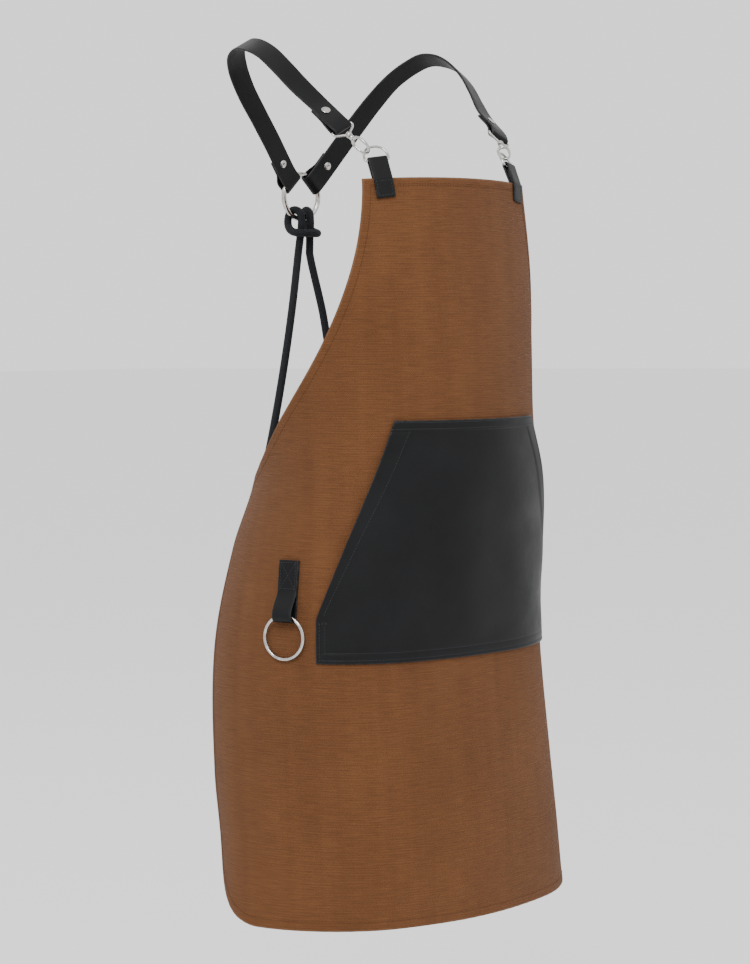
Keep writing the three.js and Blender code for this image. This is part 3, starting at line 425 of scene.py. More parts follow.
def startMaterial(name, values):
    material = bpy.data.materials.new(name)
    material.use_nodes = True
    tree = material.node_tree
    shader = tree.nodes["Principled BSDF"]
    for key, value in values.items():
        shader.inputs[key].default_value = value
    return material, tree, shader


def mixColour(tree, factor, a, b, blend="MIX"):
    node = addNode(tree, "ShaderNodeMix", data_type="RGBA", blend_type=blend)
    for socket, value in ((node.inputs[0], factor), (node.inputs[6], a), (node.inputs[7], b)):
        if isinstance(value, bpy.types.NodeSocket):
            tree.links.new(value, socket)
        else:
            socket.default_value = value
    return node.outputs[2]


def bumpInto(tree, shader, height, strength, distance):
    bump = addNode(tree, "ShaderNodeBump", {"Height": height, "Strength": strength, "Distance": distance})
    tree.links.new(bump.outputs[0], shader.inputs["Normal"])


canvasLook = {
    "light": (0.128, 0.0545, 0.0215, 1),
    "dark": (0.053, 0.0208, 0.0078, 1),
    "edge": (0.17, 0.088, 0.045, 1),
    "inside": (0.15, 0.068, 0.026, 1),
    "roughness": 0.86,
    "bump": 0.9,
    "depth": 0.0005,
}


def makeCanvasMaterial():
    v = canvasLook
    material, tree, shader = startMaterial("brownDuck", {
        "Roughness": v["roughness"], "Sheen Weight": 0.03, "Sheen Roughness": 0.5,
        "Specular IOR Level": 0.12})
    uv = addNode(tree, "ShaderNodeUVMap", uv_map="flat").outputs[0]
    weave = useGroup(tree, weaveGroup, Vector=uv, Warp=1000.0, Weft=760.0, Slub=0.9)
    cloud = useGroup(tree, patinaGroup, Vector=uv, Scale=9.0, Low=0.0, High=1.0)
    bands = addNode(tree, "ShaderNodeMapping", {"Vector": uv, "Scale": (34.0, 1.3, 1.0)})
    upright = useGroup(tree, patinaGroup, Vector=bands.outputs[0], Scale=1.0, Low=0.0, High=1.0)
    tone = math2(tree, "ADD", math2(tree, "MULTIPLY", weave["Streak"], 0.62),
                 math2(tree, "ADD", math2(tree, "MULTIPLY", cloud["Value"], 0.2),
                       math2(tree, "MULTIPLY", upright["Value"], 0.18)), clamp=True)
    colour = mixColour(tree, tone, v["dark"], v["light"])
    shade = math2(tree, "MULTIPLY", weave["Height"], 0.22, clamp=True)
    colour = mixColour(tree, shade, colour, (1.0, 0.86, 0.7, 1), "SOFT_LIGHT")
    rim = addNode(tree, "ShaderNodeAttribute", attribute_name="rim").outputs["Fac"]
    worn = useGroup(tree, patinaGroup, Vector=uv, Scale=60.0, Low=0.1, High=0.9)
    colour = mixColour(tree, math2(tree, "MULTIPLY", rim, worn["Value"]), colour, v["edge"])
    tree.links.new(colour, shader.inputs["Base Color"])
    bumpInto(tree, shader, weave["Height"], v["bump"], v["depth"])
    return material


leatherLook = {
    "deep": (0.0018, 0.0019, 0.0023, 1),
    "lifted": (0.0046, 0.0049, 0.0058, 1),
    "edge": (0.03, 0.03, 0.032, 1),
    "bump": 0.32,
    "depth": 0.0003,
}


def makeLeatherMaterial(name, scale, wrinkle, low, high, bump):
    v = leatherLook
    material, tree, shader = startMaterial(name, {
        "Specular IOR Level": 0.15, "Coat Weight": 0.03, "Coat Roughness": 0.4})
    place = addNode(tree, "ShaderNodeTexCoord").outputs["Object"]
    grain = useGroup(tree, grainGroup, Vector=place, Scale=scale, Wrinkle=wrinkle)
    cloud = useGroup(tree, patinaGroup, Vector=place, Scale=14.0, Low=0.0, High=1.0)
    colour = mixColour(tree, cloud["Value"], v["deep"], v["lifted"])
    colour = mixColour(tree, math2(tree, "MULTIPLY", grain["Pore"], 0.5, clamp=True), colour, v["deep"])
    rim = addNode(tree, "ShaderNodeAttribute", attribute_name="rim").outputs["Fac"]
    worn = useGroup(tree, patinaGroup, Vector=place, Scale=120.0, Low=0.0, High=0.8)
    colour = mixColour(tree, math2(tree, "MULTIPLY", rim, worn["Value"]), colour, v["edge"])
    tree.links.new(colour, shader.inputs["Base Color"])
    rough = useGroup(tree, patinaGroup, Vector=place, Scale=22.0, Low=low, High=high)
    tree.links.new(rough["Value"], shader.inputs["Roughness"])
    bumpInto(tree, shader, grain["Height"], bump, v["depth"])
    return material


nickelLook = {"colour": (0.58, 0.565, 0.54, 1), "tarnish": (0.2, 0.19, 0.175, 1), "low": 0.1, "high": 0.24}


def makeNickelMaterial():
    v = nickelLook
    material, tree, shader = startMaterial("nickelPlate", {"Metallic": 1.0})
    place = addNode(tree, "ShaderNodeTexCoord").outputs["Object"]
    cloud = useGroup(tree, patinaGroup, Vector=place, Scale=240.0, Low=0.0, High=0.6)
    tree.links.new(mixColour(tree, cloud["Value"], v["colour"], v["tarnish"]), shader.inputs["Base Color"])
    rough = useGroup(tree, patinaGroup, Vector=place, Scale=90.0, Low=v["low"], High=v["high"])
    tree.links.new(rough["Value"], shader.inputs["Roughness"])
    scratch = addNode(tree, "ShaderNodeTexNoise", {"Vector": place, "Scale": 2200.0, "Detail": 2.0})
    bumpInto(tree, shader, scratch.outputs[0], 0.06, 0.0001)
    return material


# The last colour here is painted shade, laid into the hollows between the cord's braided strands.
threadLook = {"canvas": (0.05, 0.018, 0.006, 1), "leather": (0.017, 0.018, 0.021, 1),
              "cord": (0.0085, 0.0092, 0.0115, 1), "grooveShade": (0.0007, 0.0008, 0.001, 1)}


def makeThreadMaterial(name, colour, scale):
    material, tree, shader = startMaterial(name, {
        "Roughness": 0.8, "Sheen Weight": 0.04, "Sheen Roughness": 0.4, "Specular IOR Level": 0.2})
    place = addNode(tree, "ShaderNodeTexCoord").outputs["Object"]
    cloud = useGroup(tree, patinaGroup, Vector=place, Scale=scale, Low=0.0, High=1.0)
    paler = tuple(min(1, 1.9 * part) for part in colour[:3]) + (1,)
    # Painted shade: where the rim value is high, in the hollows between the cord's braided strands, the colour is mixed
    # towards near-black. Pieces without that value keep their colour.
    grooveShade = addNode(tree, "ShaderNodeAttribute", attribute_name="rim").outputs["Fac"]
    mixed = mixColour(tree, grooveShade, mixColour(tree, cloud["Value"], colour, paler), threadLook["grooveShade"])
    tree.links.new(mixed, shader.inputs["Base Color"])
    fibre = addNode(tree, "ShaderNodeTexNoise", {"Vector": place, "Scale": 3 * scale, "Detail": 2.0})
    bumpInto(tree, shader, fibre.outputs[0], 0.5, 0.0002)
    return material


canvasMaterial = makeCanvasMaterial()
pocketLeather = makeLeatherMaterial("pocketHide", 620.0, 0.9, 0.4, 0.52, leatherLook["bump"])
strapLeather = makeLeatherMaterial("strapHide", 900.0, 0.35, 0.42, 0.56, 0.22)
nickelMaterial = makeNickelMaterial()
canvasThread = makeThreadMaterial("brownThread", threadLook["canvas"], 500.0)
leatherThread = makeThreadMaterial("blackThread", threadLook["leather"], 500.0)
cordMaterial = makeThreadMaterial("cordBraid", threadLook["cord"], 420.0)
print("materials made")


# Meshes: every piece is built in place, closed, with its faces turned out
def makePiece(name, points, faces, material, slot, body="apron", vertexUv=None, loopUv=None, rim=None):
    mesh = bpy.data.meshes.new(name)
    mesh.from_pydata(np.asarray(points, float).tolist(), [], faces)
    mesh.polygons.foreach_set("use_smooth", [True] * len(mesh.polygons))
    if vertexUv is not None or loopUv is not None:
        layer = mesh.uv_layers.new(name="flat")
        if vertexUv is not None:
            corner = np.zeros(len(mesh.loops), int)
            mesh.loops.foreach_get("vertex_index", corner)
            loopUv = np.asarray(vertexUv, float).reshape(-1, 2)[corner]
        layer.data.foreach_set("uv", np.asarray(loopUv, np.float32).ravel())
    if rim is not None:
        mesh.attributes.new("rim", "FLOAT", "POINT").data.foreach_set("value", np.asarray(rim, np.float32).ravel())
    shape = bmesh.new()
    shape.from_mesh(mesh)
    bmesh.ops.recalc_face_normals(shape, faces=shape.faces)
    shape.to_mesh(mesh)
    shape.free()
    piece = bpy.data.objects.new(name, mesh)
    piece.data.materials.append(material)
    bpy.context.scene.collection.objects.link(piece)
    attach(piece, body)
    return piece


def wallPiece(name, inner, outer, material, slot, uv=None, rim=None):
    rows, columns = inner.shape[:2]
    count = rows * columns
    index = np.arange(count).reshape(rows, columns)
    a, b, c, d = index[:-1, :-1], index[:-1, 1:], index[1:, 1:], index[1:, :-1]
    back = np.stack([a, b, c, d], axis=-1).reshape(-1, 4)
    front = np.stack([a, d, c, b], axis=-1).reshape(-1, 4) + count
    loop = np.concatenate([index[0, :-1], index[:-1, -1], index[-1, :0:-1], index[:0:-1, 0]])
    after = np.roll(loop, -1)
    edge = np.stack([loop, loop + count, after + count, after], axis=-1)
    faces = np.vstack([back, front, edge]).tolist()
    points = np.vstack([inner.reshape(-1, 3), outer.reshape(-1, 3)])
    doubled = None if uv is None else np.vstack([uv.reshape(-1, 2)] * 2)
    rims = None if rim is None else np.concatenate([rim.ravel()] * 2)
    return makePiece(name, points, faces, material, slot, vertexUv=doubled, rim=rims)


# Section carried along stations; outline points may change from station to station
def sweepMesh(places, widths, faces, outlines, closed=False):
    places, widths, faces = (np.asarray(v, float) for v in (places, widths, faces))
    outlines = np.asarray(outlines, float)
    if outlines.ndim == 2:
        outlines = np.broadcast_to(outlines, (len(places),) + outlines.shape)
    points = places[:, None] + widths[:, None] * outlines[..., :1] + faces[:, None] * outlines[..., 1:2]
    count, n = points.shape[:2]
    index = np.arange(count * n).reshape(count, n)
    nextRing = np.roll(index, -1, axis=0) if closed else index[1:]
    ring = index if closed else index[:-1]
    quads = np.stack([ring, np.roll(ring, -1, axis=1), np.roll(nextRing, -1, axis=1), nextRing], axis=-1)
    made = quads.reshape(-1, 4).tolist()
    if not closed:
        made += [index[0].tolist(), index[-1][::-1].tolist()]
    return points.reshape(-1, 3), made


def stripOutline(width, thickness, radius, crease=0.0, creaseIn=0.0022):
    w, t, steps = width / 2, thickness / 2, 4
    corners = []
    for x, y, start in ((w - radius, t - radius, 0), (radius - w, t - radius, 90),
                        (radius - w, radius - t, 180), (w - radius, radius - t, 270)):
        for k in range(steps + 1):
            angle = math.radians(start + 90 * k / steps)
            corners.append((x + radius * math.cos(angle), y + radius * math.sin(angle)))
    top, low = corners[: 2 * steps + 2], corners[2 * steps + 2 :]
    run = np.linspace(radius - w, w - radius, 13)[1:-1]
    extra = sorted([s * (w - creaseIn) + d for s in (-1, 1) for d in (-0.0004, 0, 0.0004)]) if crease else []
    spots = np.array(sorted([*run, *extra]))
    sink = crease * sum(np.exp(-(((spots - s * (w - creaseIn)) / 0.00025) ** 2)) for s in (-1, 1))
    upper = [(x, t - s) for x, s in zip(spots[::-1], sink[::-1])]
    lower = [(x, -t + s) for x, s in zip(spots, sink)]
    return np.array(top[: steps + 1] + upper + top[steps + 1 :] + low[: steps + 1] + lower + low[steps + 1 :])


def rimOf(outline, count, width, reach=0.0012):
    near = np.clip(1 - (width / 2 - np.abs(outline[:, 0])) / reach, 0, 1)
    return np.tile(near, count)


def circleOutline(radius, sides):
    angle = np.linspace(0, 2 * math.pi, sides, endpoint=False)
    return np.stack([radius * np.cos(angle), radius * np.sin(angle)], axis=1)


def wireMesh(path, radius, sides=16):
    path = np.asarray(path, float)
    ahead = unit(np.roll(path, -1, axis=0) - np.roll(path, 1, axis=0))
    flat = np.tile([0.0, 0.0, 1.0], (len(path), 1))
    return sweepMesh(path, unit(np.cross(ahead, flat)), flat, circleOutline(radius, sides), closed=True)


def latheMesh(profile, segments=40):
    profile = np.asarray(profile, float)
    angle = np.linspace(0, 2 * math.pi, segments, endpoint=False)
    points = np.stack([
        profile[:, :1] * np.cos(angle), np.repeat(profile[:, 1:], segments, axis=1), profile[:, :1] * np.sin(angle),
    ], axis=-1)
    index = np.arange(points.shape[0] * segments).reshape(-1, segments)
    rings, after = index[:-1], index[1:]
    quads = np.stack([rings, np.roll(rings, -1, axis=1), np.roll(after, -1, axis=1), after], axis=-1)
    made = quads.reshape(-1, 4).tolist() + [index[0].tolist(), index[-1][::-1].tolist()]
    return points.reshape(-1, 3), made


def joinMeshes(*meshes):
    points, faces, start = [], [], 0
    for somePoints, someFaces in meshes:
        points.append(somePoints)
        faces += [[start + i for i in face] for face in someFaces]
        start += len(somePoints)
    return np.vstack(points), faces


def placement(origin, x, y):
    z = unit(np.cross(x, y))
    return np.stack([unit(np.cross(y, z)), unit(y), z], axis=1), np.asarray(origin, float)


def placed(mesh, frame):
    points, faces = mesh
    basis, origin = frame
    return points @ basis.T + origin, faces


def mirrored(v, sign):
    return np.asarray(v, float) * np.array([sign, 1, 1])


def bezier(*controls, steps=12):
    t = np.linspace(0, 1, steps, endpoint=False)[:, None]
    degree = len(controls) - 1
    total = 0
    for i, control in enumerate(controls):
        total = total + math.comb(degree, i) * (1 - t) ** (degree - i) * t**i * np.asarray(control, float)
    return total


# Stitch lines, gathered while the pieces are made and sewn at the end
stitchLines = {"canvas": [], "leather": []}


def sewLine(thread, points, normals):
    stitchLines[thread].append((np.asarray(points, float), np.asarray(normals, float)))


# Frames of the tabs and of the hook chain
tab = {
    "spacing": 0.203,
    "width": 0.021,
    "leather": 0.002,
    "lap": 0.021,
    "rise": 0.021,
    "leanBack": 20,
    "leanOut": 5,
    "stitchIn": 0.0026,
}
chain = {"yaw": 28, "pitch": 40}


def tabFrame(sign, along):
    lean = math.radians(sign * tab["leanOut"])
    at = max(0.0, along)
    f = clothFrame(sign * tab["spacing"] / 2 - math.sin(lean) * at, math.cos(lean) * at)
    turn = -sign * tab["leanOut"]
    return f["point"], turned(f["side"], f["out"], turn), turned(f["down"], f["out"], turn), f["out"]


def tabBar(sign):
    point, side, down, clothOut = tabFrame(sign, 0)
    up = turned(-down, side, -tab["leanBack"])
    out = unit(np.cross(side, up))
    return point + up * tab["rise"], up, side, out if out @ clothOut > 0 else -out


def chainDirection(sign):
    pitch, yaw = math.radians(chain["pitch"]), math.radians(chain["yaw"])
    return np.array([sign * math.sin(yaw) * math.cos(pitch), math.cos(yaw) * math.cos(pitch), math.sin(pitch)])


# Black braided cord, from the patch on the wearer's right, through its knot on the ring, to the left patch
backRing = {"width": 0.057, "wire": 0.0058, "drop": 0.1585, "behind": 0.061}
ringRadius = (backRing["width"] - backRing["wire"]) / 2
ringCentre = np.array([0, backRing["behind"], -backRing["drop"]])
patch = {"width": 0.046, "height": 0.04, "leather": 0.0018, "proud": 0.0016, "drop": 0.006, "stitchIn": 0.003}
cord = {
    "width": 0.0092,
    "strands": 8,
    "lead": 0.0228,          # one turn of a strand
    "step": 0.0007,
    "sides": 48,
    "relief": 0.00085,
    "knot": [  # half of the knot, from the bottom of the ring's wire
        (-0.0082, -0.0055, -0.034),
        (-0.0072, -0.007, -0.02),
        (-0.0066, -0.0087, -0.002),
        (-0.0072, -0.0063, 0.0071),
        (-0.0086, 0.0002, 0.0103),
        (-0.0102, 0.0064, 0.0084),
        (-0.0118, 0.0089, 0.0015),
        (-0.014, 0.0065, -0.007),
        (-0.0163, -0.0015, -0.0135),
        (-0.0154, -0.0105, -0.016),
        (-0.0092, -0.016, -0.0165),
        (0, -0.0174, -0.0165),
    ],
    "legs": {  # share of the way, then how far out, back and down
        -1: [(0.25, -0.005, 0.002, 0), (0.5, -0.007, 0.003, 0), (0.75, -0.005, 0.002, 0)],
        1: [(0.2, -0.022, 0.004, 0.016), (0.45, -0.044, 0.009, 0.05), (0.72, -0.038, 0.008, 0.052)],
    },
}


def legPoints(sign):
    knotStart = ringCentre - np.array([0, 0, ringRadius])
    inner = -(clothHalf + 2 * gaps["curved"] + patch["leather"] + cord["width"] / 2)
    endDrop = canvas["waistDrop"] + patch["drop"] - patch["height"] * 0.35
    end = offCloth(sign * (halfWidth - patch["width"] * 0.6), endDrop, inner)
    top = knotStart + np.array(cord["knot"][0]) * np.array([-sign, 1, 1])
    lead = unit(np.subtract(cord["knot"][0], cord["knot"][1]) * np.array([-sign, 1, 1]))
    top = top + lead * gaps["seat"]
    middle = [top + (end - top) * share + np.array([sign * out, back, -down])
              for share, out, back, down in cord["legs"][sign]]
    return [top + lead * cord["width"] / 2, *middle, end]


def cordRoute():
    knotStart = ringCentre - np.array([0, 0, ringRadius])
    half = [np.array(p) + knotStart for p in cord["knot"]]
    other = [mirrored(p, -1) + knotStart for p in cord["knot"][-2::-1]]
    return [*legPoints(-1)[::-1], *half, *other, *legPoints(1)]


def makeCord():
    v = cord
    route = curveThrough(cordRoute())
    count = int(route["length"] / v["step"])
    run = np.linspace(0, route["length"], count)
    line, ahead, _ = curveAt(route, run)
    side = unit(np.cross(ahead[0], [0, 1, 0]))
    sides = []
    for direction in ahead:
        side = unit(side - direction * (side @ direction))
        sides.append(side)
    sides = np.array(sides)
    ups = np.cross(sides, ahead)
    angle = np.linspace(0, 2 * math.pi, v["sides"], endpoint=False)[None, :]
    around = v["strands"] * angle / (2 * math.pi)
    alongTurns = v["strands"] * run[:, None] / v["lead"]
    a, b = around + alongTurns, around - alongTurns
    over = (np.floor(a) + np.floor(b)) % 2 < 1
    across = np.where(over, a, b) % 1
    lengthwise = np.where(over, b, a) % 1
    swell = np.sqrt(np.clip(1 - 0.95 * (2 * across - 1) ** 2, 0, 1)) * (0.7 + 0.3 * np.sin(math.pi * lengthwise))
    taper = np.clip(np.minimum(run, route["length"] - run) / (0.3 * v["width"]), 0.35, 1)[:, None]
    radius = (v["width"] / 2 - v["relief"] * (1 - swell)) * np.sqrt(taper)
    outline = np.stack([radius * np.cos(angle), radius * np.sin(angle)], axis=-1)
    points, faces = sweepMesh(line, sides, ups, outline)
    # The rim value given to the cord is high in the hollows between its strands, where the thread material paints
    # shade.
    piece = makePiece("cord", points, faces, cordMaterial, "cord", rim=np.clip(1.5 * (1 - swell), 0, 1))
    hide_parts("cord_knot", "cord_leg_right", "cord_leg_left")
    print(f"cord made, {route['length']:.3f} m")


makeCord()


def edgeDistance(across, drop):
    drops = np.linspace(0, canvas["length"], 1600)
    reach = clothReach(drops)
    top = np.stack([np.linspace(0, bibHalf, 160), np.zeros(160)], axis=1)
    low = np.stack([np.linspace(0, reach[-1], 260), np.full(260, canvas["length"])], axis=1)
    outline = np.vstack([top, np.stack([reach, drops], axis=1), low])
    nearest = np.zeros(across.shape)
    for row in range(len(across)):
        here = np.stack([np.abs(across[row]), drop[row]], axis=1)
        nearest[row] = np.sqrt(((here[:, None] - outline[None]) ** 2).sum(axis=2)).min(axis=1)
    return nearest


def hemShape(distance):
    lift = canvas["hemLift"] * (1 - ease((distance - canvas["hem"]) / 0.0012))
    sink = canvas["stitchSink"] * np.exp(-(((distance - canvas["stitchIn"]) / 0.0008) ** 2))
    return lift - sink


def makeCanvas():
    hemSteps = np.array([0, 0.0003, 0.0011, 0.003, 0.006, 0.0082, 0.009, 0.0098, 0.0112, 0.0128])
    waist, radius = canvas["waistDrop"], canvas["hemCornerRadius"]
    start = 1 - (1 - hemSteps[-1] / waist) ** (1 / 1.7)
    bib = waist * (1 - (1 - np.linspace(start, 1, 88)) ** 1.7)
    straight = canvas["length"] - radius
    skirt = np.linspace(waist, straight, 94)
    corner = straight + radius * np.sin(np.linspace(0, math.pi / 2, 34))
    drops = np.concatenate([hemSteps[:-1], bib, skirt[1:], corner[1:]])
    reach = clothReach(drops)[:, None]
    inside = np.linspace(-1, 1, 154)[None, 1:-1] * (reach - hemSteps[-1])
    across = np.hstack([hemSteps[None] - reach, inside, reach - hemSteps[None, ::-1]])
    drop = np.broadcast_to(drops[:, None], across.shape)
    distance = edgeDistance(across, drop)
    pinch = 0.45 + 0.55 * ease(distance / 0.0006)
    height = clothHalf * pinch + hemShape(distance)
    inner = offCloth(across, drop, -height)
    outer = offCloth(across, drop, height)
    rim = 1 - ease((distance - 0.0008) / 0.0012)
    flat = np.stack([across, drop], axis=-1)
    piece = wallPiece("canvas_body", inner, outer, canvasMaterial, "canvas", uv=flat, rim=rim)
    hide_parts("apron_panel")


def sewCanvas():
    stitchIn = canvas["stitchIn"]
    lift = clothHalf + canvas["hemLift"]
    reach = clothReach(0.0) - stitchIn
    topLine = np.linspace(-reach, reach, 120)
    for row in (stitchIn - 0.0022, stitchIn):
        frameHere = clothFrame(topLine, row)
        sewLine("canvas", frameHere["point"] + frameHere["out"] * lift, frameHere["out"])
    drops = np.concatenate([
        np.linspace(stitchIn, canvas["waistDrop"] - 0.02, 110),
        canvas["waistDrop"] - 0.02 * (1 - np.linspace(0, 1, 24)[1:]) ** 1.7,
    ])
    edge = np.stack([clothReach(drops), drops], axis=1)
    side = np.stack([np.full(60, halfWidth), np.linspace(canvas["waistDrop"], 0.706, 60)], axis=1)[1:]
    turn = np.linspace(0, math.pi / 2, 40)[1:]
    radius = canvas["hemCornerRadius"]
    corner = np.stack([halfWidth - radius + radius * np.cos(turn),
                       canvas["length"] - radius + radius * np.sin(turn)], axis=1)
    bottom = np.stack([np.linspace(halfWidth - radius, 0, 60), np.full(60, canvas["length"])], axis=1)[1:]
    outline = np.vstack([edge, side, corner, bottom])
    ahead = unit(np.gradient(outline, axis=0))
    moved = outline + np.stack([-ahead[:, 1], ahead[:, 0]], axis=1) * stitchIn
    for sign in (-1, 1):
        f = clothFrame(sign * moved[:, 0], moved[:, 1])
        sewLine("canvas", f["point"] + f["out"] * lift, f["out"])
        sewLine("canvas", f["point"] - f["out"] * lift, -f["out"])


makeCanvas()
sewCanvas()


# Leather pocket, open along its two slants
pocket = {
    "topDrop": 0.254,
    "height": 0.257,
    "topWidth": 0.208,
    "bottomWidth": 0.368,
    "sideHeight": 0.046,
    "leather": 0.0018,
    "swell": 0.0015,
    "mouth": 0.004,
    "band": 0.0105,          # folded band along the top
    "bandLift": 0.0009,
    "facingTop": 0.022,      # facing along the slant, at its top and at its foot
    "facingFoot": 0.008,
    "facingLift": 0.0005,
    "rows": (0.004, 0.0115),  # stitch rows from the bottom edge
    "sideRows": (0.004, 0.0098),
    "sink": 0.00035,
}
slantHeight = pocket["height"] - pocket["sideHeight"]


def pocketHalf(below):
    top, bottom = pocket["topWidth"] / 2, pocket["bottomWidth"] / 2
    return top + (bottom - top) * np.minimum(1, below / slantHeight)


def pocketHeights(across, below):
    v = pocket
    half = pocketHalf(below)
    side = np.abs(across) / half
    edgeIn = half - np.abs(across)
    rim = side**4
    swell = v["swell"] * np.sin(math.pi * below / v["height"]) * (1 - rim)
    opening = np.where(below < slantHeight, np.sin(math.pi * np.clip(below / slantHeight, 0, 1)), 0)
    seat = clothHalf + gaps["curved"] + swell + v["mouth"] * opening * rim
    band = v["bandLift"] * (1 - ease((below - v["band"]) / 0.0011))
    share = np.clip(below / slantHeight, 0, 1)
    facing = v["facingTop"] + (v["facingFoot"] - v["facingTop"]) * share
    facingOn = ease((below - v["band"]) / 0.003) * (1 - ease((below - slantHeight + 0.008) / 0.012))
    fold = v["facingLift"] * (1 - ease((edgeIn - facing) / 0.002)) * facingOn
    roll = 0.0005 * np.exp(-((edgeIn / 0.0035) ** 2)) * facingOn
    low = v["height"] - below
    sewn = sum(np.exp(-(((low - row) / 0.0008) ** 2)) for row in v["rows"])
    sewnSide = sum(np.exp(-(((edgeIn - row) / 0.0008) ** 2)) for row in v["sideRows"])
    sewnBand = np.exp(-(((below - v["band"] + 0.0016) / 0.0007) ** 2))
    sink = v["sink"] * (sewn + sewnSide * (below > slantHeight) + sewnBand)
    calm = ease(low / 0.03) * ease(edgeIn / 0.02) * ease((below - v["band"]) / 0.03)
    rumple = 0.0005 * np.sin(across / 0.021 + 2.6 * np.sin(below / 0.047)) * np.sin(below / 0.033 + across / 0.06)
    rumple = rumple + 0.0011 * np.sin(across / 0.045 + below / 0.05 + 1.0) * np.sin(below / 0.062 - 0.4)
    return seat, v["leather"] + band + fold + roll - sink + rumple * calm


def onPocket(across, below, extra=0.0):
    seat, thick = pocketHeights(across, below)
    return offCloth(across, pocket["topDrop"] + below, seat + thick + extra)


def makePocket():
    v = pocket
    rimSteps = np.array([0, 0.0004, 0.0012, 0.0026, 0.0034, 0.004, 0.0046, 0.006, 0.0085, 0.0093, 0.0098, 0.0104, 0.012])
    topSteps = np.array([0, 0.0004, 0.0012, 0.003, 0.006, 0.0078, 0.0084, 0.0089, 0.0094, 0.0102, 0.0108, 0.0114, 0.0125])
    lowSteps = np.array([0, 0.0004, 0.0012, 0.0025, 0.0034, 0.004, 0.0046, 0.006, 0.009, 0.0108, 0.0115, 0.0122, 0.0135])
    middle = np.linspace(topSteps[-1], v["height"] - lowSteps[-1], 104)[1:-1]
    belows = np.concatenate([topSteps, middle, v["height"] - lowSteps[::-1]])
    half = pocketHalf(belows)[:, None]
    facing = np.array([0.014, 0.0165, 0.019, 0.0205, 0.022, 0.0235])
    inside = np.linspace(-1, 1, 118)[None, 1:-1] * (half - facing[-1])
    steps = np.concatenate([rimSteps, facing])[None]
    across = np.hstack([steps - half, inside, half - steps[:, ::-1]])
    below = np.broadcast_to(belows[:, None], across.shape)
    edge = np.minimum(half - np.abs(across), np.minimum(below, v["height"] - below))
    seat, thick = pocketHeights(across, below)
    pinch = 0.32 * v["leather"] * (1 - ease(edge / 0.0009))
    drop = v["topDrop"] + below
    inner = offCloth(across, drop, seat + pinch)
    outer = offCloth(across, drop, seat + thick - pinch)
    flat = np.stack([across, drop], axis=-1)
    piece = wallPiece("kangaroo_pocket", inner, outer, pocketLeather, "leather", uv=flat,
                      rim=1 - ease((edge - 0.0004) / 0.0008))
    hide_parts("pocket")
    print("pocket made")


def sewPocket():
    v = pocket
    def sew(across, below):
        across, below = np.broadcast_arrays(across, below)
        normals = clothFrame(across, v["topDrop"] + below)["out"]
        sewLine("leather", onPocket(across, below, 0.00005), normals)
    bottomHalf = v["bottomWidth"] / 2
    for row, sideRow in zip(v["rows"], v["sideRows"]):
        reach = bottomHalf - sideRow
        sew(np.linspace(-reach, reach, 160), v["height"] - row)
        for sign in (-1, 1):
            sew(sign * reach, np.linspace(v["height"] - row, slantHeight + 0.006 - row / 4, 24))
    bandReach = pocketHalf(0.0) - 0.002
    for row in (0.0022, v["band"] - 0.0016):
        sew(np.linspace(-bandReach, bandReach, 120), row)
    for sign in (-1, 1):
        below = np.linspace(v["band"] + 0.002, slantHeight - 0.006, 90)
        facing = v["facingTop"] + (v["facingFoot"] - v["facingTop"]) * below / slantHeight
        sew(sign * (pocketHalf(below) - facing + 0.0016), below)
        tack = np.linspace(0.003, 0.011, 9)
        for shift in (0, 0.0011):
            sew(sign * (bottomHalf - tack), slantHeight + 0.003 + shift)


makePocket()
sewPocket()


# Leather tabs on the bib
def makeTab(side, sign):
    v = tab
    bar, up, width, out = tabBar(sign)
    lift = clothHalf + gaps["sewn"] + v["leather"] / 2
    ringWire = 0.0026
    foldRadius = ringWire / 2 + gaps["wire"] + v["leather"] / 2
    places, widths, faces = [], [], []
    for faceSign, shares in ((1, np.linspace(1, 0, 16)), (-1, np.linspace(0, 1, 16))):
        if faceSign < 0:
            for angle in np.linspace(0, math.pi, 17):
                face = out * math.cos(angle) + up * math.sin(angle)
                places.append(bar + face * foldRadius)
                widths.append(width)
                faces.append(face)
        for share in shares:
            point, across, _, clothOut = tabFrame(sign, v["lap"] * share)
            places.append(point + clothOut * faceSign * lift)
            widths.append(across)
            faces.append(clothOut * faceSign)
        if faceSign > 0:
            start, end = places[-1], bar + out * foldRadius
            for share in np.linspace(0, 1, 8)[1:-1]:
                places.append(start + (end - start) * share)
                widths.append(unit(across * (1 - share) + width * share))
                faces.append(unit(clothOut * (1 - share) + out * share))
        else:
            start, end = bar - out * foldRadius, places[-16]
            between = [start + (end - start) * share for share in np.linspace(0, 1, 8)[1:-1]]
            places[-16:-16] = between
            widths[-16:-16] = [width] * len(between)
            faces[-16:-16] = [unit(-out * (1 - s) - tabFrame(sign, 0)[3] * s) for s in np.linspace(0, 1, 8)[1:-1]]
    outline = stripOutline(v["width"], v["leather"], 0.0006, 0.00012)
    points, made = sweepMesh(places, widths, faces, outline)
    piece = makePiece("tab_" + side, points, made, strapLeather, "leather", rim=rimOf(outline, len(places), v["width"]))
    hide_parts("bib_tab_" + side)
    half = v["width"] / 2 - v["stitchIn"]
    low, high = v["lap"] - v["stitchIn"], 0.0032
    for faceSign in (1, -1):
        height = faceSign * (lift + v["leather"] / 2)
        corners = [(-half, high), (half, high), (half, low), (-half, low), (-half, high)]
        line, normals = [], []
        for (x0, y0), (x1, y1) in zip(corners, corners[1:]):
            for share in np.linspace(0, 1, 10)[:-1]:
                point, across, _, clothOut = tabFrame(sign, y0 + (y1 - y0) * share)
                line.append(point + across * (x0 + (x1 - x0) * share) + clothOut * height)
                normals.append(clothOut * faceSign)
        sewLine("leather", line + line[:1], normals + normals[:1])


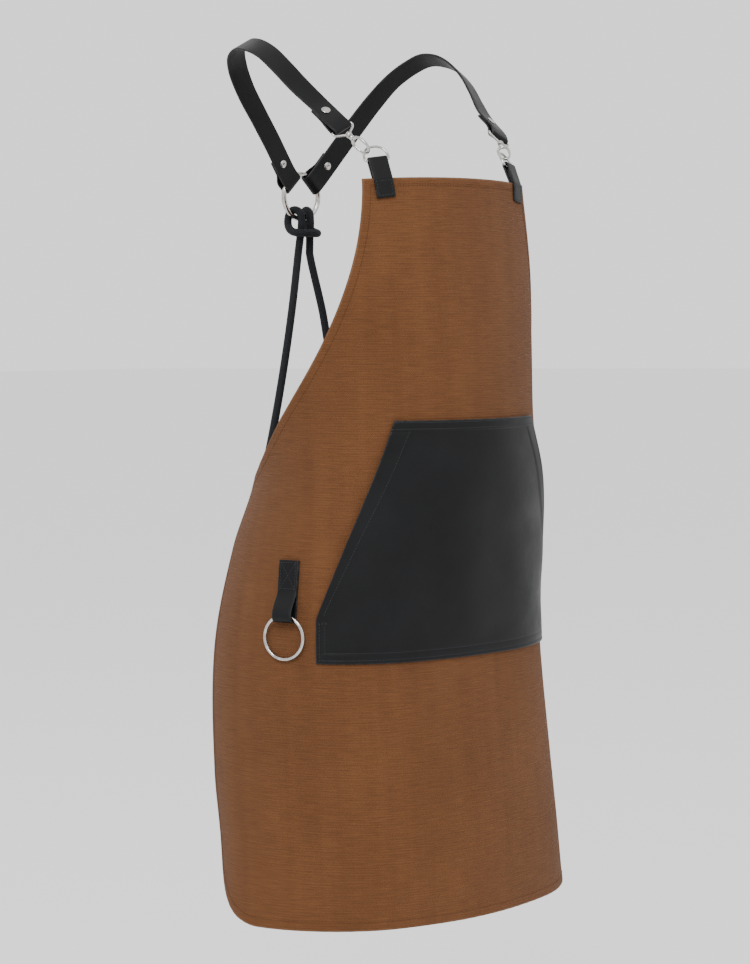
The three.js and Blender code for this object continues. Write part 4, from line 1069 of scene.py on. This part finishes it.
# D-rings, trigger hooks with their gates, and eyes
dRing = {"wire": 0.0026, "width": 0.027, "reach": 0.0175, "pull": 0.0168, "corner": 0.0024}
hook = {
    "length": 0.028,
    "width": 0.015,
    "thickness": 0.0036,
    "holeWidth": 0.0088,
    "holeLength": 0.018,
    "nose": 0.0029,
    "neck": 0.003,
    "turn": -65,
    "barrelRadius": 0.0034,
    "barrelLength": 0.0035,
    "neckRadius": 0.0017,
    "headRadius": 0.0026,
    "headThickness": 0.0012,
    "collarRadius": 0.0029,
}
gate = {"length": 0.0104, "thickness": 0.002, "width": 0.0024, "inset": 0.00035, "down": 0.0026, "swell": 0.0003,
        "pinRadius": 0.0007}
eye = {"wire": 0.0026, "depth": 0.01, "sideRoom": 0.00155, "corner": 0.0024}
hookStart = dRing["pull"] - dRing["wire"] / 2 - gaps["wire"] - hook["nose"]
chainLength = hookStart + hook["length"] + hook["barrelLength"] + eye["depth"]
neckStart = hook["length"] - hook["neck"]


def chainEnd(sign):
    return tabBar(sign)[0] + chainDirection(sign) * chainLength


def makeDRing(side, sign):
    bar, _, barWay, _ = tabBar(sign)
    reachWay = chainDirection(sign)
    reachWay = unit(reachWay - barWay * (reachWay @ barWay))
    half, reach, corner = dRing["width"] / 2, dRing["reach"], dRing["corner"]
    right = np.vstack([
        bezier((corner - half, 0), (half - corner, 0), steps=24),
        bezier((half - corner, 0), (half, 0), (half, corner), steps=10),
        bezier((half, corner), (half, reach * 0.75), (half * 0.55, reach), (0, reach), steps=28),
        bezier((0, reach), (-half * 0.55, reach), (-half, reach * 0.75), (-half, corner), steps=28),
        bezier((-half, corner), (-half, 0), (corner - half, 0), steps=10),
    ])
    path = np.hstack([right, np.zeros((len(right), 1))])
    mesh = placed(wireMesh(path, dRing["wire"] / 2), placement(bar, barWay, reachWay))
    piece = makePiece("dee_" + side, *mesh, nickelMaterial, "nickel")
    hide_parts("d_ring_" + side)


def hookFrame(sign):
    bar, _, side, _ = tabBar(sign)
    ahead = chainDirection(sign)
    basis, origin = placement(bar + ahead * hookStart, side, ahead)
    return basis @ np.array(Matrix.Rotation(math.radians(hook["turn"]), 3, "Y")), origin


gateX = -(hook["width"] / 2 + hook["holeWidth"] / 2) / 2 + gate["inset"]
gateY = hook["nose"] + hook["holeLength"] - gate["down"]


def hookRim(angle):
    # Outer ellipse and inner slot, met by a ray at this angle from the slot's middle
    middle = hook["nose"] + hook["holeLength"] / 2
    c, s = math.cos(angle), math.sin(angle)
    a, b, k = hook["width"] / 2, neckStart / 2, middle - neckStart / 2
    p, q, r = (c / a) ** 2 + (s / b) ** 2, 2 * k * s / b**2, (k / b) ** 2 - 1
    outer = (-q + math.sqrt(q * q - 4 * p * r)) / (2 * p)
    w, h = hook["holeWidth"] / 2, hook["holeLength"] / 2
    straight = h - w
    inner = w / abs(c) if abs(c) > 1e-6 else 1.0
    if abs(inner * s) > straight:
        up = straight * abs(s)
        inner = up + math.sqrt(up * up - straight * straight + w * w)
    return middle, inner, outer


def hookRingMesh():
    middle = hook["nose"] + hook["holeLength"] / 2
    low = gateY - gate["length"] - gaps["seat"]
    # From the mouth's lower lip round the nose and the far side to the gate's pivot
    start = math.atan2(low - middle, -(hook["holeWidth"] / 2 + hook["width"] / 2) / 2)
    end = math.atan2(gateY + 0.0012 - middle, gateX)
    angles = np.linspace(start, end + (2 * math.pi if end < start else 0), 90)
    places, widths, outlines = [], [], []
    sides = np.linspace(0, 2 * math.pi, 20, endpoint=False)
    for i, angle in enumerate(angles):
        _, inner, outer = hookRim(angle)
        ray = np.array([math.cos(angle), math.sin(angle), 0])
        places.append(np.array([0, middle, 0]) + ray * (inner + outer) / 2)
        widths.append(ray)
        toEnd = min(i, len(angles) - 1 - i)
        rounded = math.sqrt(1 - (1 - min(1, (toEnd + 0.6) / 4)) ** 2)
        half, thick = (outer - inner) / 2, hook["thickness"] / 2
        squircle = (np.abs(np.cos(sides)) ** 2.6 + np.abs(np.sin(sides)) ** 2.6) ** (-1 / 2.6)
        outlines.append(np.stack([half * np.cos(sides), thick * np.sin(sides)], axis=1) * (squircle * rounded)[:, None])
    return sweepMesh(places, widths, np.tile([0.0, 0.0, 1.0], (len(places), 1)), outlines)


def makeHook(side, sign):
    v = hook
    collar, neck, head = v["collarRadius"], v["neckRadius"], v["headRadius"]
    barrelStart, barrelEnd = v["length"], v["length"] + v["barrelLength"]
    start, lip, seat = neckStart - v["neck"] / 2, 0.0004, gaps["seat"]
    post = latheMesh([
        (neck, start - 0.001), (collar * 0.9, start), (collar, start + lip), (collar, barrelStart - seat - lip),
        (collar - lip, barrelStart - seat), (neck, barrelStart - seat), (neck, barrelEnd + seat),
        (head - lip, barrelEnd + seat), (head, barrelEnd + seat + lip), (head, barrelEnd + seat + v["headThickness"] - lip),
        (head - lip, barrelEnd + seat + v["headThickness"]), (0.0002, barrelEnd + seat + v["headThickness"] + 0.0002),
    ])
    body = makePiece("hook_frame_" + side, *placed(joinMeshes(hookRingMesh(), post), hookFrame(sign)),
                     nickelMaterial, "nickel")
    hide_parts("hook_body_" + side)
    half, length = gate["width"] / 2, gate["length"]
    run = np.array([0.0006, 0, -length * 0.3, -length * 0.42, -length * 0.5, -length * 0.58, -length * 0.7,
                    -length + 0.0008, -length + 0.0002, -length])
    bump = np.array([0, 0, 0, 0.0005, 0.0008, 0.0005, 0, 0, 0, 0])
    shrink = np.array([0.8, 1, 1, 1, 1, 1, 1, 1, 0.8, 0.5])
    places = np.stack([gateX - bump / 2, gateY + run, 0 * run], axis=1)
    outlines = [np.stack([(half + b / 2) * s * np.cos(t), gate["thickness"] / 2 * s * np.sin(t)], axis=1)
                for b, s in zip(bump, shrink) for t in [np.linspace(0, 2 * math.pi, 16, endpoint=False)]]
    bar = sweepMesh(places, np.tile([1.0, 0, 0], (len(run), 1)), np.tile([0, 0, 1.0], (len(run), 1)), outlines)
    turnToZ = (np.array([[1.0, 0, 0], [0, 0, 1.0], [0, -1.0, 0]]).T, np.array([gateX, gateY, 0]))
    knuckleRadius, thick = half + gate["swell"], gate["thickness"] / 2
    knuckle = placed(latheMesh([(knuckleRadius - 0.0002, -thick), (knuckleRadius, 0.0002 - thick),
                                (knuckleRadius, thick - 0.0002), (knuckleRadius - 0.0002, thick)], 28), turnToZ)
    reach = v["thickness"] / 2 - 0.0002
    pin = placed(latheMesh([(gate["pinRadius"] * 0.8, -reach), (gate["pinRadius"], 0.0002 - reach),
                            (gate["pinRadius"], reach - 0.0002), (gate["pinRadius"] * 0.8, reach)], 20), turnToZ)
    lever = makePiece("gate_" + side, *placed(joinMeshes(bar, knuckle, pin), hookFrame(sign)), nickelMaterial,
                      "nickel", body=side + "_gate")
    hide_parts("hook_gate_" + side)


# Leather shoulder straps
strap = {
    "width": 0.025,
    "leather": 0.0024,
    "shoulderHalf": 0.14,
    "front": 0.134,
    "back": 0.056,
    "fall": 0.141,
    "flap": 0.036,
    "rivetFromFold": 0.027,
    "lead": 0.009,
    "endLean": 45,
}
strapRows = [  # out, depth, fall, lean, sweep
    (0.886, -0.851, 0.489, 20, 3),
    (0.943, -0.679, 0.34, 26, 6),
    (0.986, -0.515, 0.191, 23, 10),
    (1, -0.343, 0.071, 25, 11),
    (1, -0.172, 0.007, 30, 10),
    (0.979, -0.015, -0.007, 29, 7),
    (0.936, 0.286, 0.043, 30, 10),
    (0.836, 0.554, 0.149, 33, 12),
    (0.693, 0.732, 0.319, 39, 5),
    (0.529, 0.821, 0.511, 40, 0),
    (0.371, 0.893, 0.702, 41, 0),
]
eyeFoldRadius = eye["wire"] / 2 + gaps["wire"] + strap["leather"] / 2
ringFoldRadius = backRing["wire"] / 2 + gaps["curved"] + strap["leather"] / 2
ringChord = math.sqrt(ringRadius**2 - (strap["width"] / 2) ** 2)


def leanDirection(lean, sweep):
    lean, sweep = math.radians(lean), math.radians(sweep)
    return np.array([math.cos(lean) * math.cos(sweep), math.sin(sweep), -math.sin(lean) * math.cos(sweep)])


def strapCourse():
    v = strap
    ahead = chainDirection(1)
    first = leanDirection(*strapRows[0][3:])
    first = unit(first - ahead * (first @ ahead))
    out = unit(np.cross(first, ahead))
    start = chainEnd(1) + out * eyeFoldRadius
    radial = np.array([math.sin(math.radians(v["endLean"])), 0, math.cos(math.radians(v["endLean"]))])
    end = ringCentre + radial * ringChord + np.array([0, -ringFoldRadius, 0])
    wire = end + radial * (ringRadius - ringChord + backRing["wire"])
    middle = [np.array([row[0] * v["shoulderHalf"], row[1] * (v["front"] if row[1] < 0 else v["back"]),
                        -row[2] * v["fall"]]) for row in strapRows]
    curve = curveThrough([start, start + ahead * v["lead"], *middle, wire, end])
    last = leanDirection(v["endLean"], 0)
    widths = np.array([first, first, *[leanDirection(*row[3:]) for row in strapRows], last, last])
    return curve, widths


course, courseWidths = strapCourse()


def strapStation(distance):
    point, ahead, place = curveAt(course, np.clip(distance, 0, course["length"]))
    i = min(len(courseWidths) - 2, int(place))
    width = courseWidths[i] * (1 - (place - i)) + courseWidths[i + 1] * (place - i)
    width = unit(width - ahead * (width @ ahead))
    return point, width, unit(np.cross(width, ahead)), ahead


def flapSpread(fromFold, foldRadius, flat):
    closed = strap["leather"] + gaps["seat"]
    share = ease((fromFold - flat) / (strap["rivetFromFold"] - flat - 0.006))
    return closed + (2 * foldRadius - closed) * (1 - share)


def foldStations(atFront):
    radius = eyeFoldRadius if atFront else ringFoldRadius
    flat = 0.001 if atFront else ringRadius - ringChord + 0.002
    turn = -1 if atFront else 1
    stations = []
    for fromFold in np.linspace(strap["flap"], 0, 24, endpoint=False):
        point, width, face, _ = strapStation(fromFold if atFront else course["length"] - fromFold)
        stations.append((point + face * turn * flapSpread(fromFold, radius, flat), width, -face))
    point, width, face, ahead = strapStation(0 if atFront else course["length"])
    past = ahead * (-1 if atFront else 1)
    middle = point + face * turn * radius
    for angle in np.linspace(0, math.pi, 16, endpoint=False):
        away = face * turn * math.cos(angle) + past * math.sin(angle)
        stations.append((middle + away * radius, width, away * -turn))
    return stations


def rivetMesh(low, high):
    v = {"cap": 0.005, "capHeight": 0.0015, "shank": 0.0016, "back": 0.0046, "backHeight": 0.0011}
    top = high + strap["leather"] / 2 + gaps["seat"] / 2
    bottom = low - strap["leather"] / 2 - gaps["seat"] / 2
    dome = [(v["cap"] * math.cos(a), top + v["capHeight"] * (0.25 + 0.75 * math.sin(a)))
            for a in np.radians(np.linspace(80, 0, 12))]
    hollow = v["shank"] * 0.55
    profile = [(0.0002, top + v["capHeight"]), *dome, (v["cap"] - 0.0003, top), (v["shank"], top),
               (v["shank"], bottom), (v["back"] - 0.0003, bottom), (v["back"], bottom - 0.0003),
               (v["back"] * 0.93, bottom - v["backHeight"] * 0.6), (v["back"] * 0.7, bottom - v["backHeight"]),
               (hollow * 1.9, bottom - v["backHeight"]), (hollow * 1.2, bottom - v["backHeight"] * 0.7),
               (hollow, bottom - v["backHeight"] * 0.3), (hollow, bottom + 0.0009), (0.0002, bottom + 0.0009)]
    return latheMesh(profile, 44)


def makeStrap(side, sign):
    v = strap
    main = [strapStation(distance)[:3] for distance in np.linspace(0, course["length"], 190)]
    stations = foldStations(True) + main + foldStations(False)[::-1]
    places, widths, faces = (np.array([mirrored(s[i], sign) for s in stations]) for i in range(3))
    outline = stripOutline(v["width"], v["leather"], 0.0008, 0.00016)
    points, made = sweepMesh(places, widths, faces, outline)
    piece = makePiece("shoulder_strap_" + side, points, made, strapLeather, "leather",
                      rim=rimOf(outline, len(places), v["width"]))
    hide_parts("strap_" + side)
    layer = v["leather"] + gaps["seat"]
    for end, distance, low, high in (("front", v["rivetFromFold"], -layer, 0),
                                     ("back", course["length"] - v["rivetFromFold"], 0, layer)):
        point, width, face, _ = strapStation(distance)
        axis = mirrored(face, sign)
        frameHere = placement(mirrored(point, sign), np.cross(axis, mirrored(width, sign)), axis)
        rivet = makePiece(f"stud_{side}_{end}", *placed(rivetMesh(low, high), frameHere), nickelMaterial, "nickel")
        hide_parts(f"rivet_{side}_{end}")


def makeEye(side, sign):
    v = eye
    _, start, _, _ = strapStation(0)
    basis, origin = placement(chainEnd(sign), mirrored(start, sign) * sign, chainDirection(sign))
    half = strap["width"] / 2 + v["sideRoom"] + v["wire"] / 2
    narrow, corner, depth = hook["barrelRadius"] - 0.0002, v["corner"], v["depth"]
    foot = -depth - 0.0004
    path = np.vstack([
        bezier((corner - half, 0), (half - corner, 0), steps=24),
        bezier((half - corner, 0), (half, 0), (half, -corner), steps=10),
        bezier((half, -corner), (half, -depth * 0.64), (half * 0.45, -depth * 0.74), (narrow, foot), steps=26),
        bezier((narrow, foot), (-narrow, foot), steps=8),
        bezier((-narrow, foot), (-half * 0.45, -depth * 0.74), (-half, -depth * 0.64), (-half, -corner), steps=26),
        bezier((-half, -corner), (-half, 0), (corner - half, 0), steps=10),
    ])
    wire = wireMesh(np.hstack([path, np.zeros((len(path), 1))]), v["wire"] / 2)
    radius, long, bore, lip = hook["barrelRadius"], hook["barrelLength"], hook["neckRadius"] + 0.0003, 0.0004
    barrel = latheMesh([(bore, -depth), (radius - lip, -depth), (radius, -depth - lip), (radius, lip - depth - long),
                        (radius - lip, -depth - long), (bore, -depth - long)], 36)
    piece = makePiece("swivel_eye_" + side, *placed(joinMeshes(wire, barrel), (basis, origin)), nickelMaterial, "nickel")
    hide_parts("hook_eye_" + side)


def torusMesh(radius, wire, frameHere):
    angle = np.linspace(0, 2 * math.pi, 120, endpoint=False)
    path = np.stack([radius * np.cos(angle), radius * np.sin(angle), 0 * angle], axis=1)
    return placed(wireMesh(path, wire / 2, 24), frameHere)


def makeBackRing():
    mesh = torusMesh(ringRadius, backRing["wire"], placement(ringCentre, (1, 0, 0), (0, 0, 1)))
    piece = makePiece("o_ring", *mesh, nickelMaterial, "nickel")
    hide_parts("back_ring")


# Hip loop with its towel ring
hipLoop = {"across": 0.217, "top": 0.404, "length": 0.066, "stitched": 0.031, "width": 0.023, "leather": 0.0018,
           "belly": 0.0106, "stitchIn": 0.0026}
hipRing = {"width": 0.05, "wire": 0.0036, "lean": 1.2}
hipFoldRadius = hipLoop["belly"] / 2 + hipLoop["leather"] / 2
hipFoldDrop = hipLoop["top"] + hipLoop["length"] - hipFoldRadius - hipLoop["leather"] / 2
hipBack = clothHalf + gaps["sewn"] + hipLoop["leather"] / 2


def makeHipLoop():
    v = hipLoop
    front = hipBack + v["leather"] + gaps["seat"]
    side = clothFrame(-v["across"], v["top"] + v["length"] * 0.75)["side"]
    stations = []

    def station(drop, height, faceSign):
        f = clothFrame(-v["across"], drop)
        stations.append((f["point"] + f["out"] * height, side, f["out"] * faceSign))

    for drop in np.linspace(v["top"], hipFoldDrop, 26):
        station(drop, hipBack, -1)
    f = clothFrame(-v["across"], hipFoldDrop)
    middle = f["point"] + f["out"] * (hipBack + hipFoldRadius)
    for angle in np.linspace(0, math.pi, 22)[1:-1]:
        away = -f["out"] * math.cos(angle) + f["down"] * math.sin(angle)
        stations.append((middle + away * hipFoldRadius, side, away))
    open_ = hipFoldDrop - v["top"] - v["stitched"]
    for drop in np.linspace(hipFoldDrop, v["top"], 34):
        loose = ease((drop - v["top"] - v["stitched"]) / open_)
        station(drop, front + (hipBack + 2 * hipFoldRadius - front) * loose, 1)
    outline = stripOutline(v["width"], v["leather"], 0.0006, 0.00014)
    places, widths, faces = (np.array([s[i] for s in stations]) for i in range(3))
    points, made = sweepMesh(places, widths, faces, outline)
    piece = makePiece("towel_loop", points, made, strapLeather, "leather", rim=rimOf(outline, len(places), v["width"]))
    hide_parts("hip_loop")
    half, high, low = v["width"] / 2 - v["stitchIn"], v["stitchIn"], v["stitched"] - 0.001
    box = [(-half, high), (half, high), (half, low), (-half, low), (-half, high), (half, low)]
    for corners in (box, [(-half, low), (half, high)]):
        line, normals = [], []
        for (x0, y0), (x1, y1) in zip(corners, corners[1:]):
            for share in np.linspace(0, 1, 14):
                f = clothFrame(-v["across"], v["top"] + y0 + (y1 - y0) * share)
                line.append(f["point"] + side * (x0 + (x1 - x0) * share) + f["out"] * (front + v["leather"] / 2))
                normals.append(f["out"])
        sewLine("leather", line, normals)


def makeHipRing():
    v = hipRing
    f = clothFrame(-hipLoop["across"], hipFoldDrop)
    axis = clothFrame(-hipLoop["across"], hipLoop["top"] + hipLoop["length"] * 0.75)["side"]
    low = hipFoldRadius - hipLoop["leather"] / 2 - v["wire"] / 2 - 2 * gaps["seat"]
    point = f["point"] + f["out"] * (hipBack + hipFoldRadius) + f["down"] * low
    radius = (v["width"] - v["wire"]) / 2
    hang = np.array([0, 0, -1.0])
    hang = turned(unit(hang - axis * (hang @ axis)), axis, -v["lean"])
    centre = point + hang * math.sqrt(radius**2 - (hipLoop["width"] / 2) ** 2)
    mesh = torusMesh(radius, v["wire"], placement(centre, axis, -hang))
    piece = makePiece("hip_o_ring", *mesh, nickelMaterial, "nickel", body="towel_ring")
    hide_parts("hip_ring")


def makePatch(side, sign):
    v = patch
    edge = np.concatenate([[0, 0.0004, 0.0012], np.linspace(0.003, v["width"] - 0.003, 26),
                           v["width"] - np.array([0.0012, 0.0004, 0])])[None]
    up = np.concatenate([[0, 0.0004, 0.0012], np.linspace(0.003, v["height"] - 0.003, 22),
                         v["height"] - np.array([0.0012, 0.0004, 0])])[:, None]
    drop = canvas["waistDrop"] + v["drop"] - v["height"] + up
    across = sign * (np.minimum(clothReach(drop), halfWidth) + v["proud"] - edge)
    drop = np.broadcast_to(drop, across.shape)
    near = np.minimum(np.minimum(edge, v["width"] - edge), np.minimum(up, v["height"] - up))
    pinch = 0.3 * v["leather"] * (1 - ease(near / 0.0009))
    base = clothHalf + gaps["curved"]
    outer = offCloth(across, drop, -(base + pinch))
    inner = offCloth(across, drop, -(base + v["leather"] - pinch))
    piece = wallPiece("patch_" + side, inner, outer, strapLeather, "leather", rim=1 - ease((near - 0.0004) / 0.0008))
    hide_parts("side_patch_" + side)
    low, high = v["stitchIn"], v["height"] - v["stitchIn"]
    left, right = v["stitchIn"], v["width"] - v["stitchIn"]
    corners = [(left, low), (right, low), (right, high), (left, high), (left, low)]
    line, normals = [], []
    for (x0, y0), (x1, y1) in zip(corners, corners[1:]):
        for share in np.linspace(0, 1, 16)[:-1]:
            fall = canvas["waistDrop"] + v["drop"] - v["height"] + y0 + (y1 - y0) * share
            place = sign * (min(float(clothReach(fall)), halfWidth) + v["proud"] - x0 - (x1 - x0) * share)
            f = clothFrame(place, fall)
            line.append(f["point"] - f["out"] * (base + v["leather"]))
            normals.append(-f["out"])
    sewLine("leather", line, normals)


for sideName, sideSign in (("right", -1), ("left", 1)):
    makeTab(sideName, sideSign)
    makeDRing(sideName, sideSign)
    makeHook(sideName, sideSign)
    makeStrap(sideName, sideSign)
    makeEye(sideName, sideSign)
    makePatch(sideName, sideSign)
makeBackRing()
makeHipLoop()
makeHipRing()
print("leather and hardware made")


# Stitches, laid along the gathered lines by Geometry Nodes
stitching = {
    "canvas": {"pitch": 0.0033, "length": 0.0027, "thickness": 0.00062},
    "leather": {"pitch": 0.0032, "length": 0.0025, "thickness": 0.00068},
}


def stitchTree():
    tree = bpy.data.node_groups.new("stitchRun", "GeometryNodeTree")
    tree.interface.new_socket("Geometry", in_out="INPUT", socket_type="NodeSocketGeometry")
    for name in ("Pitch", "Length", "Thickness"):
        tree.interface.new_socket(name, in_out="INPUT", socket_type="NodeSocketFloat")
    tree.interface.new_socket("Thread", in_out="INPUT", socket_type="NodeSocketMaterial")
    tree.interface.new_socket("Geometry", in_out="OUTPUT", socket_type="NodeSocketGeometry")
    given = tree.nodes.new("NodeGroupInput")
    result = tree.nodes.new("NodeGroupOutput")
    line = addNode(tree, "GeometryNodeMeshToCurve", {0: given.outputs["Geometry"]})
    spaced = addNode(tree, "GeometryNodeResampleCurve", {"Curve": line.outputs[0], "Length": given.outputs["Pitch"]},
                     mode="LENGTH")
    ball = addNode(tree, "GeometryNodeMeshUVSphere", {"Segments": 6, "Rings": 5, "Radius": 0.5})
    flat = addNode(tree, "ShaderNodeMath", {0: given.outputs["Thickness"], 1: 0.8}, operation="MULTIPLY")
    size = addNode(tree, "ShaderNodeCombineXYZ", {
        0: given.outputs["Length"], 1: given.outputs["Thickness"], 2: flat.outputs[0]})
    stitch = addNode(tree, "GeometryNodeTransform", {"Geometry": ball.outputs["Mesh"], "Scale": size.outputs[0]})
    smooth = addNode(tree, "GeometryNodeSetShadeSmooth", {"Geometry": stitch.outputs[0]})
    tangent = tree.nodes.new("GeometryNodeInputTangent")
    normal = addNode(tree, "GeometryNodeInputNamedAttribute", {"Name": "out"}, data_type="FLOAT_VECTOR")
    forward = addNode(tree, "FunctionNodeAlignRotationToVector", {"Vector": tangent.outputs[0]}, axis="X")
    upright = addNode(tree, "FunctionNodeAlignRotationToVector", {
        "Rotation": forward.outputs[0], "Vector": normal.outputs[0]}, axis="Z", pivot_axis="X")
    copies = addNode(tree, "GeometryNodeInstanceOnPoints", {
        "Points": spaced.outputs[0], "Instance": smooth.outputs[0], "Rotation": upright.outputs[0]})
    real = addNode(tree, "GeometryNodeRealizeInstances", {0: copies.outputs[0]})
    thread = addNode(tree, "GeometryNodeSetMaterial", {"Geometry": real.outputs[0], "Material": given.outputs["Thread"]})
    tree.links.new(thread.outputs[0], result.inputs[0])
    return tree


def makeStitches(name, lines, values, material, tree):
    mesh = bpy.data.meshes.new(name + "_lines")
    points, edges, normals, start = [], [], [], 0
    for line, outs in lines:
        points += line.tolist()
        normals += outs.tolist()
        edges += [(start + i, start + i + 1) for i in range(len(line) - 1)]
        start += len(line)
    mesh.from_pydata(points, edges, [])
    mesh.attributes.new("out", "FLOAT_VECTOR", "POINT").data.foreach_set("vector", np.array(normals, np.float32).ravel())
    source = bpy.data.objects.new(name + "_lines", mesh)
    bpy.context.scene.collection.objects.link(source)
    modifier = source.modifiers.new("stitches", "NODES")
    modifier.node_group = tree
    sockets = {item.name: item.identifier for item in tree.interface.items_tree if item.in_out == "INPUT"}
    for key in ("Pitch", "Length", "Thickness"):
        modifier[sockets[key]] = values[key.lower()]
    modifier[sockets["Thread"]] = material
    bpy.context.view_layer.update()
    evaluated = source.evaluated_get(bpy.context.evaluated_depsgraph_get())
    sewn = bpy.data.meshes.new_from_object(evaluated)
    piece = bpy.data.objects.new(name, sewn)
    bpy.context.scene.collection.objects.link(piece)
    bpy.data.objects.remove(source)
    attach(piece, "apron")
    print(f"{name}: {len(sewn.polygons)} faces")


stitchNodes = stitchTree()
makeStitches("canvas_stitching", stitchLines["canvas"], stitching["canvas"], canvasThread, stitchNodes)
makeStitches("leather_stitching", stitchLines["leather"], stitching["leather"], leatherThread, stitchNodes)


# Pale floor and soft light
studio = {
    "floorDrop": 1.35,
    "floorColour": (0.9, 0.9, 0.9, 1),
    "sky": 1.35,
    "lights": [  # name, place, size, power
        ("key", (-2.6, -2.0, 2.4), 1.8, 120),
        ("front", (0.6, -3.4, 1.4), 1.6, 16),
        ("rear", (0.4, 3.0, 2.6), 1.6, 16),
    ],
    "target": (0, -0.05, -0.5),
}


def makeStudio():
    v = studio
    mesh = bpy.data.meshes.new("floor")
    reach = 30
    corners = [(-reach, -reach), (reach, -reach), (reach, reach), (-reach, reach)]
    mesh.from_pydata([(x, y, -v["floorDrop"]) for x, y in corners], [], [(0, 1, 2, 3)])
    floor = bpy.data.objects.new("floor", mesh)
    material, tree, shader = startMaterial("paleFloor", {"Roughness": 0.9, "Base Color": v["floorColour"]})
    floor.data.materials.append(material)
    bpy.context.scene.collection.objects.link(floor)
    world = bpy.data.worlds.new("studio")
    world.use_nodes = True
    background = world.node_tree.nodes["Background"]
    background.inputs["Color"].default_value = (1, 1, 1, 1)
    background.inputs["Strength"].default_value = v["sky"]
    bpy.context.scene.world = world
    for name, place, size, power in v["lights"]:
        data = bpy.data.lights.new(name, "AREA")
        data.shape = "DISK"
        data.size = size
        data.energy = power
        light = bpy.data.objects.new(name, data)
        light.location = place
        light.rotation_euler = (Vector(v["target"]) - Vector(place)).to_track_quat("-Z", "Y").to_euler()
        bpy.context.scene.collection.objects.link(light)


makeStudio()
print("studio made")
